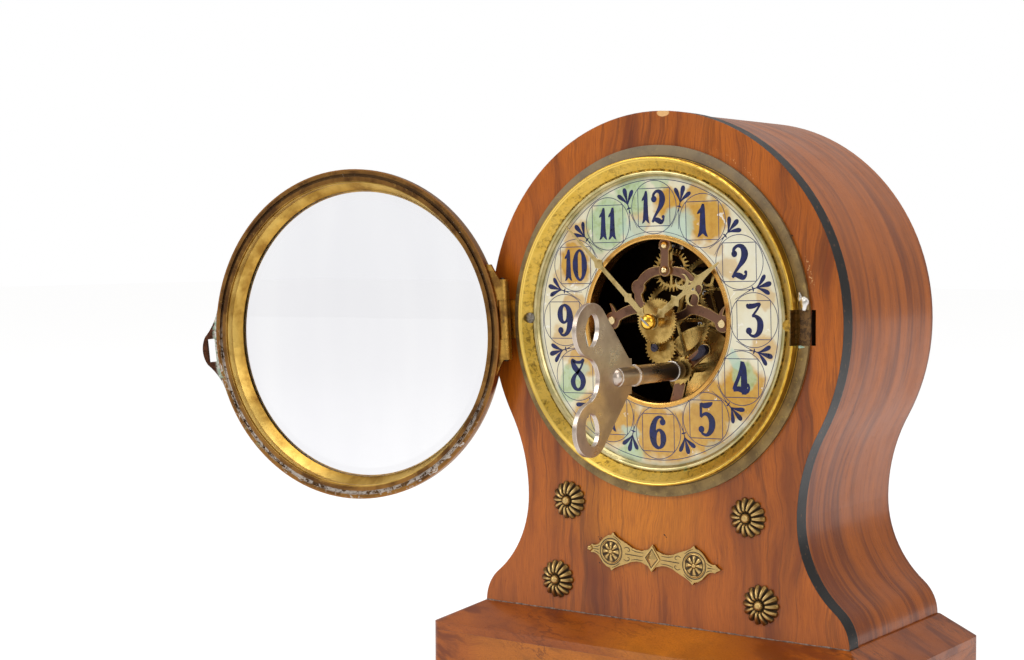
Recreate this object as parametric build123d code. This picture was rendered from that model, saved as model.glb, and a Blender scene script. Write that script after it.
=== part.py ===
from build123d import *
import os
from math import atan2, cos, degrees, hypot, radians, sin, sqrt

# A dome mantel clock: a walnut case on a bevelled plinth, a glazed door standing open on the left,
# a skeleton dial centre with the going train behind it, and the key on its winding square.
# Each piece is drawn about the dial's centre on the case's front plane, X right, Y back, Z up.
# place() then carries it to the clock's own frame, with the origin under the middle of the plinth.

# Case outline: a dome over a waist that flares to the foot
dome_radius = 89.5
waist_half_width = 68.6
waist_drop = 80.0
lower_waist_radius = 46.0
foot_half_width = 93.0
foot_drop = 130.5
case_depth = 87.0
front_board_thickness = 8.0
shell_inset = 0.7
shell_wall = 7.0
back_board_thickness = 6.0
back_board_recess = 1.0

# Plinth
plinth_overhang_side = 17.0
plinth_overhang_front = 19.0
plinth_overhang_back = 5.0
plinth_bevel_drop = 8.5
plinth_cap_edge = 3.5
plinth_frame_height = 22.0
plinth_frame_wall = 14.0
plinth_corner_radius = 4.0
base_board_thickness = 5.0
case_reveal = 0.5

# Dial and the fixed bezel round it
dial_radius = 62.4
dial_thickness = 0.8
dial_hole_radius = 36.3
dial_lap = 0.6
bead_radius = 0.9
bead_pitch_width = 0.7
slope_width = 4.5
slope_rise = 4.4
ridge_top_width = 1.2
ridge_height = 6.0
flange_width = 5.0
flange_thickness = 1.5
dial_pan_thickness = 0.8
dial_pan_rim = 0.5
centre_ring_wall = 1.2
centre_ring_lip = 0.8
centre_ring_lip_thickness = 0.6
centre_ring_cock_gap = 0.6
bezel_screw_radius = 2.3
catch_notch_top = 6.5
catch_notch_bottom = -8.0
catch_notch_depth = 6.8
catch_slot_width = 2.0
catch_slot_depth = 4.0

# Door, drawn shut and then swung open about its leaning hinge pin
door_open_angle = 169.5
hinge_lean = 3.4
hinge_outset = 2.6
hinge_forward = 5.8
hinge_drop = 1.0
knuckle_radius = 2.85
hinge_pin_radius = 1.1
case_knuckle_length = 17.3
door_knuckle_length = 9.2
knuckle_gap = 0.15
hinge_pin_end = 0.7
hinge_web = 2.0
hinge_leaf_thickness = 1.2
hinge_leaf_height = 50.0
hinge_leaf_inset_width = 10.0
door_rear_gap = 0.3
door_overhang = 1.5
door_ridge_gap = 0.9
door_depth = 11.0
door_rim = 1.5
door_groove_width = 1.4
door_groove_depth = 0.8
glass_thickness = 1.9
glass_bevel_width = 6.0
glass_bevel_depth = 0.8
glass_sight_radius = 67.1
glass_lap = 2.1
retainer_wall = 0.4
thumb_tab_reach = 8.5
thumb_tab_half_height = 19.0
thumb_tab_thickness = 1.2
thumb_slot_gap = 1.0
thumb_slot_width = 4.6
thumb_slot_height = 11.0

# Ornaments on the front board
rosette_radius = 8.5
rosette_height = 3.4
rosette_petals = 14
rosette_knob_radius = 2.0
upper_rosette_x = 45.8
upper_rosette_rise = 50.0
lower_rosette_x = 52.2
lower_rosette_rise = 14.1
mount_length = 68.0
mount_rise = 28.4
mount_tilt = 2.6
mount_thickness = 1.4
mount_roundel_radius = 5.2
mount_roundel_pitch = 37.0
mount_lozenge_width = 8.4
mount_lozenge_height = 11.3
mount_waist_height = 5.3
mount_knob_radius = 1.2
mount_ring_height = 0.6

# Movement: plates, pillars and the drum that houses them
drum_gap = 0.3
drum_wall = 0.8
front_plate_y = 8.0
plate_thickness = 1.4
plate_spacing = 33.0
pillar_radius = 2.2
pillar_pivot_radius = 1.2
pillar_side_reach = 28.2
pillar_side_drop = 0.7
pillar_bottom_drop = 46.0
foot_boss_radius = 3.8
rivet_radius = 1.7
rivet_height = 0.9
plate_end_gap = 0.1

# Wheelwork: teeth, and the module of each meshing pair
cannon_teeth = 14
minute_wheel_teeth = 28
minute_pinion_teeth = 8
hour_wheel_teeth = 48
centre_wheel_teeth = 64
third_pinion_teeth = 8
third_wheel_teeth = 60
escape_pinion_teeth = 8
escape_teeth = 30
barrel_teeth = 80
centre_pinion_teeth = 10
ratchet_teeth = 16
minute_module = 0.538
centre_module = 0.53
third_module = 0.466
barrel_module = 0.5
tooth_addendum = 0.6
tooth_dedendum = 1.1
wheel_thickness = 1.0
pinion_length = 3.0
escape_radius = 9.5
escape_tooth_depth = 1.9
pallet_half_span = 27.4
pallet_gap = 0.25
third_arbor_bearing = 45.0
winding_arbor_bearing = 159.1
arbor_radius = 0.9
pivot_radius = 0.6
winding_arbor_radius = 2.0
winding_square = 2.6
winding_square_length = 11.0
running_fit = 0.05
ratchet_radius = 6.5
ratchet_tooth_depth = 1.0
ratchet_thickness = 1.4
click_gap = 0.25
click_thickness = 1.2
click_plate_gap = 0.3
click_screw_radius = 1.9
click_screw_head = 0.9
minute_stud_radius = 0.9
minute_screw_radius = 1.75

# Depths of the wheels behind the case's front plane
hour_wheel_y = 0.6
minute_wheel_y = 3.4
escape_wheel_y = 12.0
centre_wheel_y = 16.0
third_wheel_y = 22.0
barrel_front_y = 24.0
barrel_wheel_y = 36.0
barrel_wheel_thickness = 2.0
barrel_radius = 18.0
barrel_wall = 1.0
barrel_cap_thickness = 1.0
spring_turns = 6
spring_leaf = 0.5
spring_pitch = 1.9
spring_side_gap = 0.4
spring_hub_wall = 1.4
spring_hub_gap = 0.1

# Hands
hand_thickness = 0.6
cannon_bore_wall = 0.65
hour_pipe_wall = 0.75
minute_hand_y = -5.6
hour_hand_y = -3.6
minute_hand_length = 59.6
hour_hand_length = 41.6
minute_hand_angle = -47.1
hour_hand_angle = 52.5
hand_boss_radius = 3.0
nut_radius = 3.4
nut_height = 2.9

# Key
key_radius = 4.0
key_bore_gap = 0.1
key_tube_end_y = 4.7
key_socket_depth = 10.7
key_ring_y = -29.0
key_back_y = -42.0
key_bow_thickness = 2.0
key_bow_height = 61.6
key_bow_waist_front_y = -55.0
key_bow_waist_back_y = -32.0
key_bow_front_y = -71.0
key_lobe_radius = 11.0
key_ear_half_height = 7.3
key_ear_length = 2.0
key_hole_half_width = 4.6
key_hole_half_height = 6.8

# Pendulum, hung behind the back plate
pendulum_length = 106.0
bob_radius = 15.0
bob_thickness = 8.0
rod_radius = 0.9
pendulum_eye_radius = 2.2
pendulum_tail_radius = 1.4
suspension_top = 8.0
suspension_width = 10.0
suspension_plate = 1.4
suspension_face_gap = 2.4
crutch_gap = 0.2
crutch_length = 26.0
crutch_y_gap = 2.0
pendulum_y_gap = 6.0

# Back door
back_opening_radius = 44.0
back_door_lap = 3.0
back_door_thickness = 1.2
back_door_gap = 0.2
back_knuckle_radius = 1.3
back_knuckle_gap = 0.3
back_pin_radius = 0.6
back_hinge_height = 24.0
back_knob_radius = 4.0
back_knob_height = 9.0

# Derived places and sizes
plinth_top = foot_drop
plinth_bevel_foot = foot_drop + plinth_bevel_drop
plinth_cap_bottom = plinth_bevel_foot + plinth_cap_edge
plinth_bottom = plinth_cap_bottom + plinth_frame_height
plinth_middle_y = (case_depth + plinth_overhang_back - plinth_overhang_front) / 2

bezel_inner_radius = dial_radius - dial_lap
bead_middle_radius = bezel_inner_radius + bead_pitch_width + bead_radius
slope_foot_radius = bead_middle_radius + bead_radius
slope_top_radius = slope_foot_radius + slope_width
ridge_radius = slope_top_radius + ridge_top_width
flange_radius = ridge_radius + flange_width
drum_inner_radius = dial_radius + drum_gap + dial_pan_rim
drum_radius = drum_inner_radius + drum_wall
board_hole_radius = drum_radius + drum_gap
centre_ring_radius = dial_hole_radius - running_fit
centre_ring_depth = front_plate_y - plate_thickness - centre_ring_cock_gap

door_rear_y = -(flange_thickness + door_rear_gap)
door_inner_radius = ridge_radius + door_ridge_gap
door_radius = flange_radius + door_overhang
door_front_y = door_rear_y - door_depth
glass_radius = glass_sight_radius + glass_lap
glass_front_y = door_front_y + 0.45
glass_rear_y = glass_front_y + glass_thickness
hinge_x = -(flange_radius + hinge_outset)
hinge_half_length = case_knuckle_length / 2 + knuckle_gap + door_knuckle_length

hour_module = minute_module * (cannon_teeth + minute_wheel_teeth) / (hour_wheel_teeth + minute_pinion_teeth)
motion_distance = minute_module * (cannon_teeth + minute_wheel_teeth) / 2
centre_distance = centre_module * (centre_wheel_teeth + third_pinion_teeth) / 2
third_distance = third_module * (third_wheel_teeth + escape_pinion_teeth) / 2
barrel_distance = barrel_module * (barrel_teeth + centre_pinion_teeth) / 2
third_x = centre_distance * sin(radians(third_arbor_bearing))
third_z = centre_distance * cos(radians(third_arbor_bearing))
escape_z = third_z + sqrt(third_distance**2 - third_x**2)
pallet_z = escape_z + escape_radius / cos(radians(pallet_half_span))
winding_x = barrel_distance * sin(radians(winding_arbor_bearing))
winding_z = barrel_distance * cos(radians(winding_arbor_bearing))
front_plate_back_y = front_plate_y + plate_thickness
back_plate_y = front_plate_back_y + plate_spacing
back_plate_back_y = back_plate_y + plate_thickness
cannon_radius = arbor_radius + running_fit + cannon_bore_wall
hour_pipe_radius = cannon_radius + running_fit + hour_pipe_wall
crutch_y = back_plate_back_y + crutch_y_gap
pendulum_y = back_plate_back_y + pendulum_y_gap
back_board_y = case_depth - back_board_recess - back_board_thickness
back_face_y = case_depth - back_board_recess
back_door_radius = back_opening_radius + back_door_lap
back_hinge_x = -(back_door_radius + back_knuckle_radius)
back_door_front_y = back_face_y + back_door_gap
back_hinge_y = back_face_y + back_knuckle_radius + 0.2
third_place = (third_x, third_z)
escape_place = (0, escape_z)
pallet_place = (0, pallet_z)
winding_place = (winding_x, winding_z)
minute_stud_place = (0, -motion_distance)
click_place = (winding_x + 11.5, winding_z + 9.0)
pillar_places = [(-pillar_side_reach, -pillar_side_drop), (pillar_side_reach, -pillar_side_drop),
                 (0, -pillar_bottom_drop)]
upper_rosette_z = upper_rosette_rise - foot_drop
lower_rosette_z = lower_rosette_rise - foot_drop
mount_z = mount_rise - foot_drop
ornament_places = [(-upper_rosette_x, upper_rosette_z), (upper_rosette_x, upper_rosette_z),
                   (-lower_rosette_x, lower_rosette_z), (lower_rosette_x, lower_rosette_z)]

parts = {}


# Shared helpers

def place(shape):
    return Pos(0, -plinth_middle_y, plinth_bottom) * shape


def slab(outline, front, back):
    # a flat outline in X and Z, from its front depth to its back depth
    return Pos(0, front, 0) * extrude(Plane.XZ * outline, amount=-(back - front))


def turned(points):
    # a profile of (radius, depth) points spun about the dial's axis
    return revolve(make_face(Polyline(*points, close=True)), Axis.Y)


def rod(radius, front, back, at=(0, 0)):
    return slab(Pos(*at) * Circle(radius), front, back)


def tube(outer, bore, front, back, at=(0, 0)):
    return slab(Pos(*at) * (Circle(outer) - Circle(bore)), front, back)


def upright(radius, height):
    # a round bar that stands on the origin
    return Cylinder(radius, height, align=(Align.CENTER, Align.CENTER, Align.MIN))


def on_circle(middle, radius, angle):
    return (middle[0] + radius * cos(radians(angle)), middle[1] + radius * sin(radians(angle)))


def strap(start, end, start_width, end_width, bow=0.0):
    # a flat bar between two points, its two long sides bowed to one side by the same amount
    length = hypot(end[0] - start[0], end[1] - start[1])
    along = ((end[0] - start[0]) / length, (end[1] - start[1]) / length)
    side = (-along[1], along[0])
    middle = ((start[0] + end[0]) / 2, (start[1] + end[1]) / 2)

    def off(point, amount):
        return (point[0] + side[0] * amount, point[1] + side[1] * amount)

    middle_width = (start_width + end_width) / 2
    corners = [off(start, start_width / 2), off(end, end_width / 2),
               off(end, -end_width / 2), off(start, -start_width / 2)]
    if bow == 0:
        return make_face(Polyline(*corners, close=True))
    upper = ThreePointArc(corners[0], off(middle, bow + middle_width / 2), corners[1])
    lower = ThreePointArc(corners[2], off(middle, bow - middle_width / 2), corners[3])
    return make_face([upper, Line(corners[1], corners[2]), lower, Line(corners[3], corners[0])])


def tooth_points(teeth, module, phase=0.0):
    # flat-sided teeth with rounded-off tips and some backlash
    pitch = module * teeth / 2
    tip = pitch + tooth_addendum * module
    root = pitch - tooth_dedendum * module
    step = 360 / teeth
    points = []
    for index in range(teeth):
        middle = phase + index * step
        for radius, share in ((root, -0.27), (tip, -0.11), (tip, 0.11), (root, 0.27)):
            points.append(on_circle((0, 0), radius, 90 - middle - share * step))
    return points


def toothed(teeth, module, phase=0.0):
    return make_face(Polyline(*tooth_points(teeth, module, phase), close=True))


def wheel_outline(teeth, module, spokes, hub, rim, phase=0.0):
    # a toothed rim crossed out to a hub by straight spokes
    inner = module * teeth / 2 - tooth_dedendum * module - rim
    web = Circle(inner) - Circle(hub)
    for index in range(spokes):
        web -= Rot(0, 0, index * 360 / spokes) * Pos(inner / 2, 0) * Rectangle(inner, hub * 0.55)
    return toothed(teeth, module, phase) - web


def mesh_phase(driver_teeth, driver_phase, follower_teeth, bearing):
    # the phase that puts a gap of the follower where the driver has a tooth, along the line of centres
    driver_turn = (bearing - driver_phase) / (360 / driver_teeth)
    follower_turn = 0.5 - driver_turn
    return bearing + 180 - follower_turn * 360 / follower_teeth


# Case

def case_outline(inset=0.0, floor=0.0):
    # tangent arcs from the right foot over the dome to the left foot
    upper_radius = ((waist_half_width**2 + waist_drop**2 - dome_radius**2)
                    / (2 * (dome_radius - waist_half_width)))
    flare = waist_half_width + lower_waist_radius - foot_half_width
    rise = foot_drop - waist_drop
    foot_radius = (flare**2 + rise**2 - lower_waist_radius**2) / (2 * (lower_waist_radius - flare))
    upper_middle = (waist_half_width + upper_radius, -waist_drop)
    lower_middle = (waist_half_width + lower_waist_radius, -waist_drop)
    foot_middle = (foot_half_width - foot_radius, -foot_drop)
    dome_turn = degrees(atan2(waist_drop, upper_middle[0]))
    foot_turn = degrees(atan2(rise, lower_middle[0] - foot_middle[0]))
    foot = foot_radius - inset
    lower = lower_waist_radius + inset
    upper = upper_radius + inset
    dome = dome_radius - inset
    right = []
    right.append(ThreePointArc(on_circle(foot_middle, foot, 0), on_circle(foot_middle, foot, foot_turn / 2),
                               on_circle(foot_middle, foot, foot_turn)))
    right.append(ThreePointArc(on_circle(lower_middle, lower, 180 + foot_turn),
                               on_circle(lower_middle, lower, 180 + foot_turn / 2),
                               on_circle(lower_middle, lower, 180)))
    right.append(ThreePointArc(on_circle(upper_middle, upper, 180),
                               on_circle(upper_middle, upper, 180 - dome_turn / 2),
                               on_circle(upper_middle, upper, 180 - dome_turn)))
    over = ThreePointArc(on_circle((0, 0), dome, -dome_turn), (0, dome),
                         on_circle((0, 0), dome, 180 + dome_turn))
    left = [edge.mirror(Plane.YZ) for edge in right]
    half = foot_half_width - inset
    edges = right + [over] + left
    if floor > 0:
        edges.append(Polyline((-half, -foot_drop), (-half, -foot_drop - floor),
                              (half, -foot_drop - floor), (half, -foot_drop)))
    else:
        edges.append(Line((-half, -foot_drop), (half, -foot_drop)))
    return make_face(edges)


def front_board():
    board = slab(case_outline() - Circle(board_hole_radius), 0, front_board_thickness)
    slot_height = catch_notch_top - catch_notch_bottom
    slot = Box(catch_slot_width, 2 * catch_slot_depth, slot_height)
    slot_x = flange_radius + catch_slot_width / 2
    board -= Pos(slot_x, 0, (catch_notch_top + catch_notch_bottom) / 2) * slot
    return board - hinge_frame() * case_leaf_blank(hinge_leaf_thickness + plate_end_gap, plate_end_gap)


def case_shell():
    walls = case_outline(shell_inset) - case_outline(shell_inset + shell_wall, 1)
    return slab(walls, front_board_thickness, case_depth)


def back_board():
    outline = case_outline(shell_inset + shell_wall + running_fit)
    board = slab(outline - Circle(back_opening_radius), back_board_y, back_face_y)
    return board


def plinth_plan(side, front, back, corner):
    plan = Rectangle(2 * (foot_half_width + side), case_depth + front + back)
    plan = fillet(plan.vertices(), corner)
    return Pos(0, (case_depth + back - front) / 2) * plan


def plinth_cap():
    foot = Pos(0, 0, -plinth_bevel_foot) * plinth_plan(plinth_overhang_side, plinth_overhang_front,
                                                       plinth_overhang_back, plinth_corner_radius)
    top = Pos(0, 0, -plinth_top) * plinth_plan(case_reveal, case_reveal, case_reveal, case_reveal)
    return extrude(foot, amount=-plinth_cap_edge) + loft([foot, top], ruled=True)


def plinth_frame():
    outer = plinth_plan(plinth_overhang_side, plinth_overhang_front, plinth_overhang_back,
                        plinth_corner_radius)
    wall = plinth_frame_wall
    inner = plinth_plan(plinth_overhang_side - wall, plinth_overhang_front - wall,
                        plinth_overhang_back - wall, plinth_corner_radius)
    return Pos(0, 0, -plinth_bottom) * extrude(outer - inner, amount=plinth_frame_height)


def base_board():
    side = plinth_frame_wall + running_fit
    board = plinth_plan(plinth_overhang_side - side, plinth_overhang_front - side,
                        plinth_overhang_back - side, plinth_corner_radius)
    return Pos(0, 0, -plinth_bottom) * extrude(board, amount=base_board_thickness)


# Ornaments

def rosette():
    # a ring of rounded petals that curve back to the board, with a domed knob in the middle
    lobe = rosette_radius * sin(radians(180 / rosette_petals))
    outline = Circle(rosette_radius - lobe)
    for index in range(rosette_petals):
        outline += Pos(*on_circle((0, 0), rosette_radius - lobe, index * 360 / rosette_petals)) * Circle(lobe)
    brim = ThreePointArc((rosette_radius, 0), (rosette_radius * 0.84, -rosette_height * 0.75),
                         (rosette_radius * 0.56, -rosette_height))
    profile = [brim, Line((rosette_radius * 0.56, -rosette_height), (0, -rosette_height * 0.8)),
               Line((0, -rosette_height * 0.8), (0, 0)), Line((0, 0), (rosette_radius, 0))]
    petals = slab(outline, -rosette_height, 0) & revolve(make_face(profile), Axis.Y)
    knob = Pos(0, -rosette_height * 0.8, 0) * Sphere(rosette_knob_radius)
    return petals + knob


def rosettes():
    return [Pos(x, 0, z) * rosette() for x, z in ornament_places]


def brass_mount():
    # two roundels tied by a waisted plate, with a lozenge in the middle and pointed ends
    half = mount_length / 2
    pitch = mount_roundel_pitch / 2
    crest = mount_roundel_radius + 3.2
    outline = strap((-pitch, 0), (pitch, 0), mount_waist_height, mount_waist_height)
    lozenge_width = mount_lozenge_width / 2
    lozenge_height = mount_lozenge_height / 2
    lozenge = Polyline((-lozenge_width, 0), (0, lozenge_height), (lozenge_width, 0), (0, -lozenge_height),
                       close=True)
    outline += make_face(lozenge)
    for side in (-1, 1):
        middle = side * pitch
        outline += Pos(middle, 0) * Circle(mount_roundel_radius + 1.1)
        spike = Polyline((middle - 3.4, 0), (middle, crest), (middle + 3.4, 0), (middle, -crest), close=True)
        outline += make_face(spike)
        neck = middle - side * (mount_roundel_radius + 2)
        barb = Polyline((neck - 2.4, 0), (neck, 5.0), (neck + 2.4, 0), (neck, -5.0), close=True)
        outline += make_face(barb)
        outer = middle + side * (mount_roundel_radius + 0.5)
        outline += make_face(Polyline((outer, 4.2), (side * half, 0), (outer, -4.2), close=True))
    plate = slab(outline, -mount_thickness, 0)
    for side in (-1, 1):
        ring = Pos(side * pitch, 0) * (Circle(mount_roundel_radius) - Circle(mount_roundel_radius - 0.8))
        plate += slab(ring, -mount_thickness - mount_ring_height, -mount_thickness)
    base = Pos(0, -mount_thickness, 0) * Plane.XZ * make_face(lozenge)
    plate += extrude(base, amount=1.6, taper=50)
    plate += rod(mount_knob_radius, -mount_thickness - 1.0, 0, (-half + mount_knob_radius, 0))
    return Pos(0, 0, mount_z) * Rot(0, mount_tilt, 0) * plate


# Dial, bezel and drum

def bezel_screw_places():
    reach = slope_foot_radius + bezel_screw_radius / 2
    return [(-reach, 0), (reach, 0)]


def bezel_ring():
    ridge_flat_radius = slope_top_radius + ridge_top_width / 2
    bead_y = -(ridge_height - slope_rise)
    profile = [Line((flange_radius, 0), (flange_radius, -flange_thickness)),
               Line((flange_radius, -flange_thickness), (ridge_radius, -flange_thickness)),
               Line((ridge_radius, -flange_thickness), (ridge_radius, -ridge_height + 0.7)),
               ThreePointArc((ridge_radius, -ridge_height + 0.7), (ridge_flat_radius, -ridge_height),
                             (slope_top_radius, -ridge_height + 0.5)),
               Line((slope_top_radius, -ridge_height + 0.5), (slope_foot_radius, bead_y)),
               ThreePointArc((slope_foot_radius, bead_y), (bead_middle_radius, bead_y - bead_radius),
                             (bead_middle_radius - bead_radius, bead_y)),
               Line((bead_middle_radius - bead_radius, bead_y), (bezel_inner_radius, bead_y / 2)),
               Line((bezel_inner_radius, bead_y / 2), (bezel_inner_radius, 0)),
               Line((bezel_inner_radius, 0), (flange_radius, 0))]
    ring = revolve(make_face(profile), Axis.Y)
    notch_height = catch_notch_top - catch_notch_bottom
    notch_x = flange_radius - catch_notch_depth + 10
    notch = Pos(notch_x, -10.6, (catch_notch_top + catch_notch_bottom) / 2) * Box(20, 20, notch_height)
    ring -= notch
    for at in bezel_screw_places():
        ring -= rod(bezel_screw_radius + running_fit, -2 * ridge_height, 0, at)
    return ring


def bezel_screws():
    screws = []
    for at in bezel_screw_places():
        head = rod(bezel_screw_radius, -(ridge_height - slope_rise) - 1.2, 0, at)
        screws.append(head)
    return screws


def dial_plate():
    return tube(dial_radius, dial_hole_radius, 0, dial_thickness)


def dial_pan():
    pan = tube(drum_inner_radius - running_fit, dial_hole_radius, dial_thickness,
               dial_thickness + dial_pan_thickness)
    rim = tube(drum_inner_radius - running_fit, dial_radius + running_fit, 0, dial_thickness)
    return pan + rim


def centre_ring():
    lip = centre_ring_radius + centre_ring_lip + running_fit
    bore = centre_ring_radius - centre_ring_wall
    return turned([(bore, -centre_ring_lip_thickness / 2), (bore + 0.5, -centre_ring_lip_thickness),
                   (lip - 0.2, -centre_ring_lip_thickness), (lip, 0), (centre_ring_radius, 0),
                   (centre_ring_radius, centre_ring_depth), (bore, centre_ring_depth)])


def movement_drum():
    return tube(drum_radius, drum_inner_radius, 0, back_plate_back_y)


# Movement frame

def front_plate_outline():
    # a skeleton plate: a fork at the top, scrolled arms to the side pillars, a tail to the winding arbor
    outline = Circle(4.6)
    fork = escape_z + 0.5
    outline += Pos(0, fork) * Circle(2.9)
    for side in (-1, 1):
        blob = (side * (third_x + 1.2), third_z + 0.6)
        foot = (side * pillar_side_reach, -pillar_side_drop)
        knee = (side * (third_x - 1.0), 5.4)
        outline += strap((side * 1.0, fork - 1.0), blob, 4.2, 4.6, side * 2.6)
        outline += Pos(*blob) * Circle(3.4)
        outline += strap(blob, knee, 3.2, 4.4, side * 1.0)
        outline += Pos(*knee) * Circle(2.6)
        outline += strap(knee, foot, 4.8, 4.2, side * 1.2)
        outline += strap((0, 1.4), knee, 3.4, 4.0, side * -1.4)
        outline += Pos(*foot) * Circle(foot_boss_radius)
        horn = (foot[0] + side * 1.4, 6.8)
        outline += strap((foot[0] - side * 1.0, foot[1] + 1), horn, 3.2, 0.5, side * 0.8)
        outline += strap(blob, (blob[0] - side * 3.6, blob[1] + 4.2), 2.8, 0.5, side * 0.8)
        outline += strap((side * 1.4, fork), (side * 3.2, fork + 3.4), 1.8, 1.0, side * 0.4)
    outline += strap((0, -2), minute_stud_place, 5.6, 5.0)
    outline += Pos(*minute_stud_place) * Circle(2.7)
    outline += strap(minute_stud_place, winding_place, 5.0, 7.0)
    outline += Pos(*winding_place) * Circle(5.4)
    outline += strap(winding_place, click_place, 5.0, 4.6)
    outline += Pos(*click_place) * Circle(2.6)
    outline += strap(winding_place, pillar_places[2], 6.0, 5.0, 1.2)
    outline += Pos(*pillar_places[2]) * Circle(foot_boss_radius)
    return outline


def front_plate():
    outline = front_plate_outline()
    outline -= Circle(arbor_radius + running_fit)
    for at in (third_place, escape_place):
        outline -= Pos(*at) * Circle(pivot_radius + running_fit)
    outline -= Pos(*winding_place) * Circle(winding_arbor_radius + running_fit)
    for at in (minute_stud_place, click_place):
        outline -= Pos(*at) * Circle(minute_stud_radius)
    for at in pillar_places:
        outline -= Pos(*at) * Circle(pillar_pivot_radius)
    return slab(outline, front_plate_y, front_plate_back_y)


def back_plate():
    outline = Circle(drum_inner_radius - running_fit)
    for at in ((0, 0), third_place, escape_place):
        outline -= Pos(*at) * Circle(pivot_radius + running_fit)
    outline -= Pos(*pallet_place) * Circle(arbor_radius + running_fit)
    outline -= Pos(*winding_place) * Circle(winding_arbor_radius + running_fit)
    for at in pillar_places:
        outline -= Pos(*at) * Circle(pillar_pivot_radius)
    return slab(outline, back_plate_y, back_plate_back_y)


def plate_pillars():
    # turned pillars, riveted over through both plates
    pillars = []
    for at in pillar_places:
        pillar = rod(pillar_radius, front_plate_back_y, back_plate_y, at)
        pillar += rod(pillar_pivot_radius, front_plate_y, back_plate_back_y, at)
        pillar += rod(rivet_radius, front_plate_y - rivet_height, front_plate_y, at)
        pillar += rod(rivet_radius, back_plate_back_y, back_plate_back_y + rivet_height, at)
        pillars.append(pillar)
    return pillars


def escape_cock():
    # a bar up from the plate's fork that holds the front pivot of the pallet arbor
    outline = strap((0, escape_z - 1.2), (0, pallet_z), 4.4, 4.0)
    outline += Pos(*pallet_place) * Circle(3.0)
    outline += Pos(0, escape_z) * Circle(2.8)
    outline -= Pos(*pallet_place) * Circle(pivot_radius + running_fit)
    outline -= Pos(*escape_place) * Circle(pivot_radius + running_fit)
    return slab(outline, front_plate_y - plate_thickness, front_plate_y)


def pivot_caps():
    # domed end caps over the two front pivots
    caps = []
    front = front_plate_y - plate_thickness
    for at in (escape_place, pallet_place):
        dome = Pos(at[0], front, at[1]) * Sphere(1.8)
        dome &= Pos(at[0], front - 2.5, at[1]) * Box(5, 5, 5)
        caps.append(dome)
    return caps


def minute_wheel_stud():
    stud = rod(minute_stud_radius, hour_wheel_y - 1.2, front_plate_back_y, minute_stud_place)
    head = rod(minute_screw_radius, hour_wheel_y - 2.2, hour_wheel_y - 1.2, minute_stud_place)
    slot = Pos(minute_stud_place[0], hour_wheel_y - 2.2, minute_stud_place[1]) * Rot(0, 25, 0)
    return stud + head - slot * Box(2 * minute_screw_radius + 1, 0.9, 0.5)


# Motion work and hands

def cannon_pinion():
    bore = arbor_radius + running_fit
    pipe = tube(cannon_radius, bore, minute_hand_y - 0.2, front_plate_y - 0.4)
    leaves = toothed(cannon_teeth, minute_module, 0) - Circle(bore)
    return pipe + slab(leaves, minute_wheel_y, minute_wheel_y + wheel_thickness)


def minute_wheel():
    # the wheel has one wide window, and its pinion stands in front
    bore = minute_stud_radius + running_fit
    phase = mesh_phase(cannon_teeth, 0, minute_wheel_teeth, 180)
    disc = toothed(minute_wheel_teeth, minute_module, phase)
    window = Rot(0, 0, 35) * Pos(0, 3.6) * Rectangle(8.4, 3.4)
    disc -= window & (Circle(minute_module * minute_wheel_teeth / 2 - 2.4) - Circle(2.4))
    disc -= Circle(bore)
    wheel = slab(disc, minute_wheel_y, minute_wheel_y + wheel_thickness)
    pinion_phase = mesh_phase(hour_wheel_teeth, 0, minute_pinion_teeth, 180)
    leaves = toothed(minute_pinion_teeth, hour_module, pinion_phase) - Circle(bore)
    wheel += slab(leaves, hour_wheel_y, minute_wheel_y)
    return Pos(minute_stud_place[0], 0, minute_stud_place[1]) * wheel


def hour_wheel():
    bore = cannon_radius + running_fit
    disc = toothed(hour_wheel_teeth, hour_module, 0) - Circle(bore)
    pipe = tube(hour_pipe_radius, bore, hour_hand_y - 0.1, hour_wheel_y)
    return slab(disc, hour_wheel_y, hour_wheel_y + wheel_thickness) + pipe


def mirrored_outline(stations):
    # a long outline from (distance, half width) stations, the same on both sides of its axis
    right = [(half, distance) for distance, half in stations]
    left = [(-half, distance) for distance, half in reversed(stations)]
    return make_face(Polyline(*right, *left, close=True))


def minute_hand():
    tip = minute_hand_length
    stations = [(hand_boss_radius - 1, 0.7), (4.5, 0.7), (6.3, 2.2), (7.0, 1.2), (13.5, 1.35), (14.6, 2.4),
                (16.2, 1.05), (33.6, 0.95), (35.8, 2.4), (38.0, 0.9), (tip, 0.25)]
    outline = mirrored_outline(stations) + Circle(hand_boss_radius)
    outline -= Circle(cannon_radius)
    return Rot(0, minute_hand_angle, 0) * slab(outline, minute_hand_y, minute_hand_y + hand_thickness)


def hour_hand():
    # a pierced spade: two pairs of barbs, a pair of crescents and a spear point
    tip = hour_hand_length
    stations = [(hand_boss_radius - 1, 0.9), (4.0, 0.8), (6.2, 2.3), (7.2, 1.2), (13.6, 1.5), (14.8, 3.0),
                (16.6, 0.9), (20.0, 0.9), (22.5, 2.1), (25.0, 0.9), (28.6, 0.8), (29.8, 2.3), (31.4, 1.5),
                (tip, 0.25)]
    outline = mirrored_outline(stations)
    for side in (-1, 1):
        curl = Pos(side * 4.3, 22.6) * Circle(3.3) - Pos(side * 5.2, 22.6) * Circle(2.5)
        outline += curl
        barb = Pos(side * 2.2, 27.6) * Circle(2.2) - Pos(side * 2.9, 27.4) * Circle(1.6)
        outline += barb
    outline += Circle(hour_pipe_radius + 0.9)
    outline -= Circle(hour_pipe_radius)
    return Rot(0, hour_hand_angle, 0) * slab(outline, hour_hand_y, hour_hand_y + hand_thickness)


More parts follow.
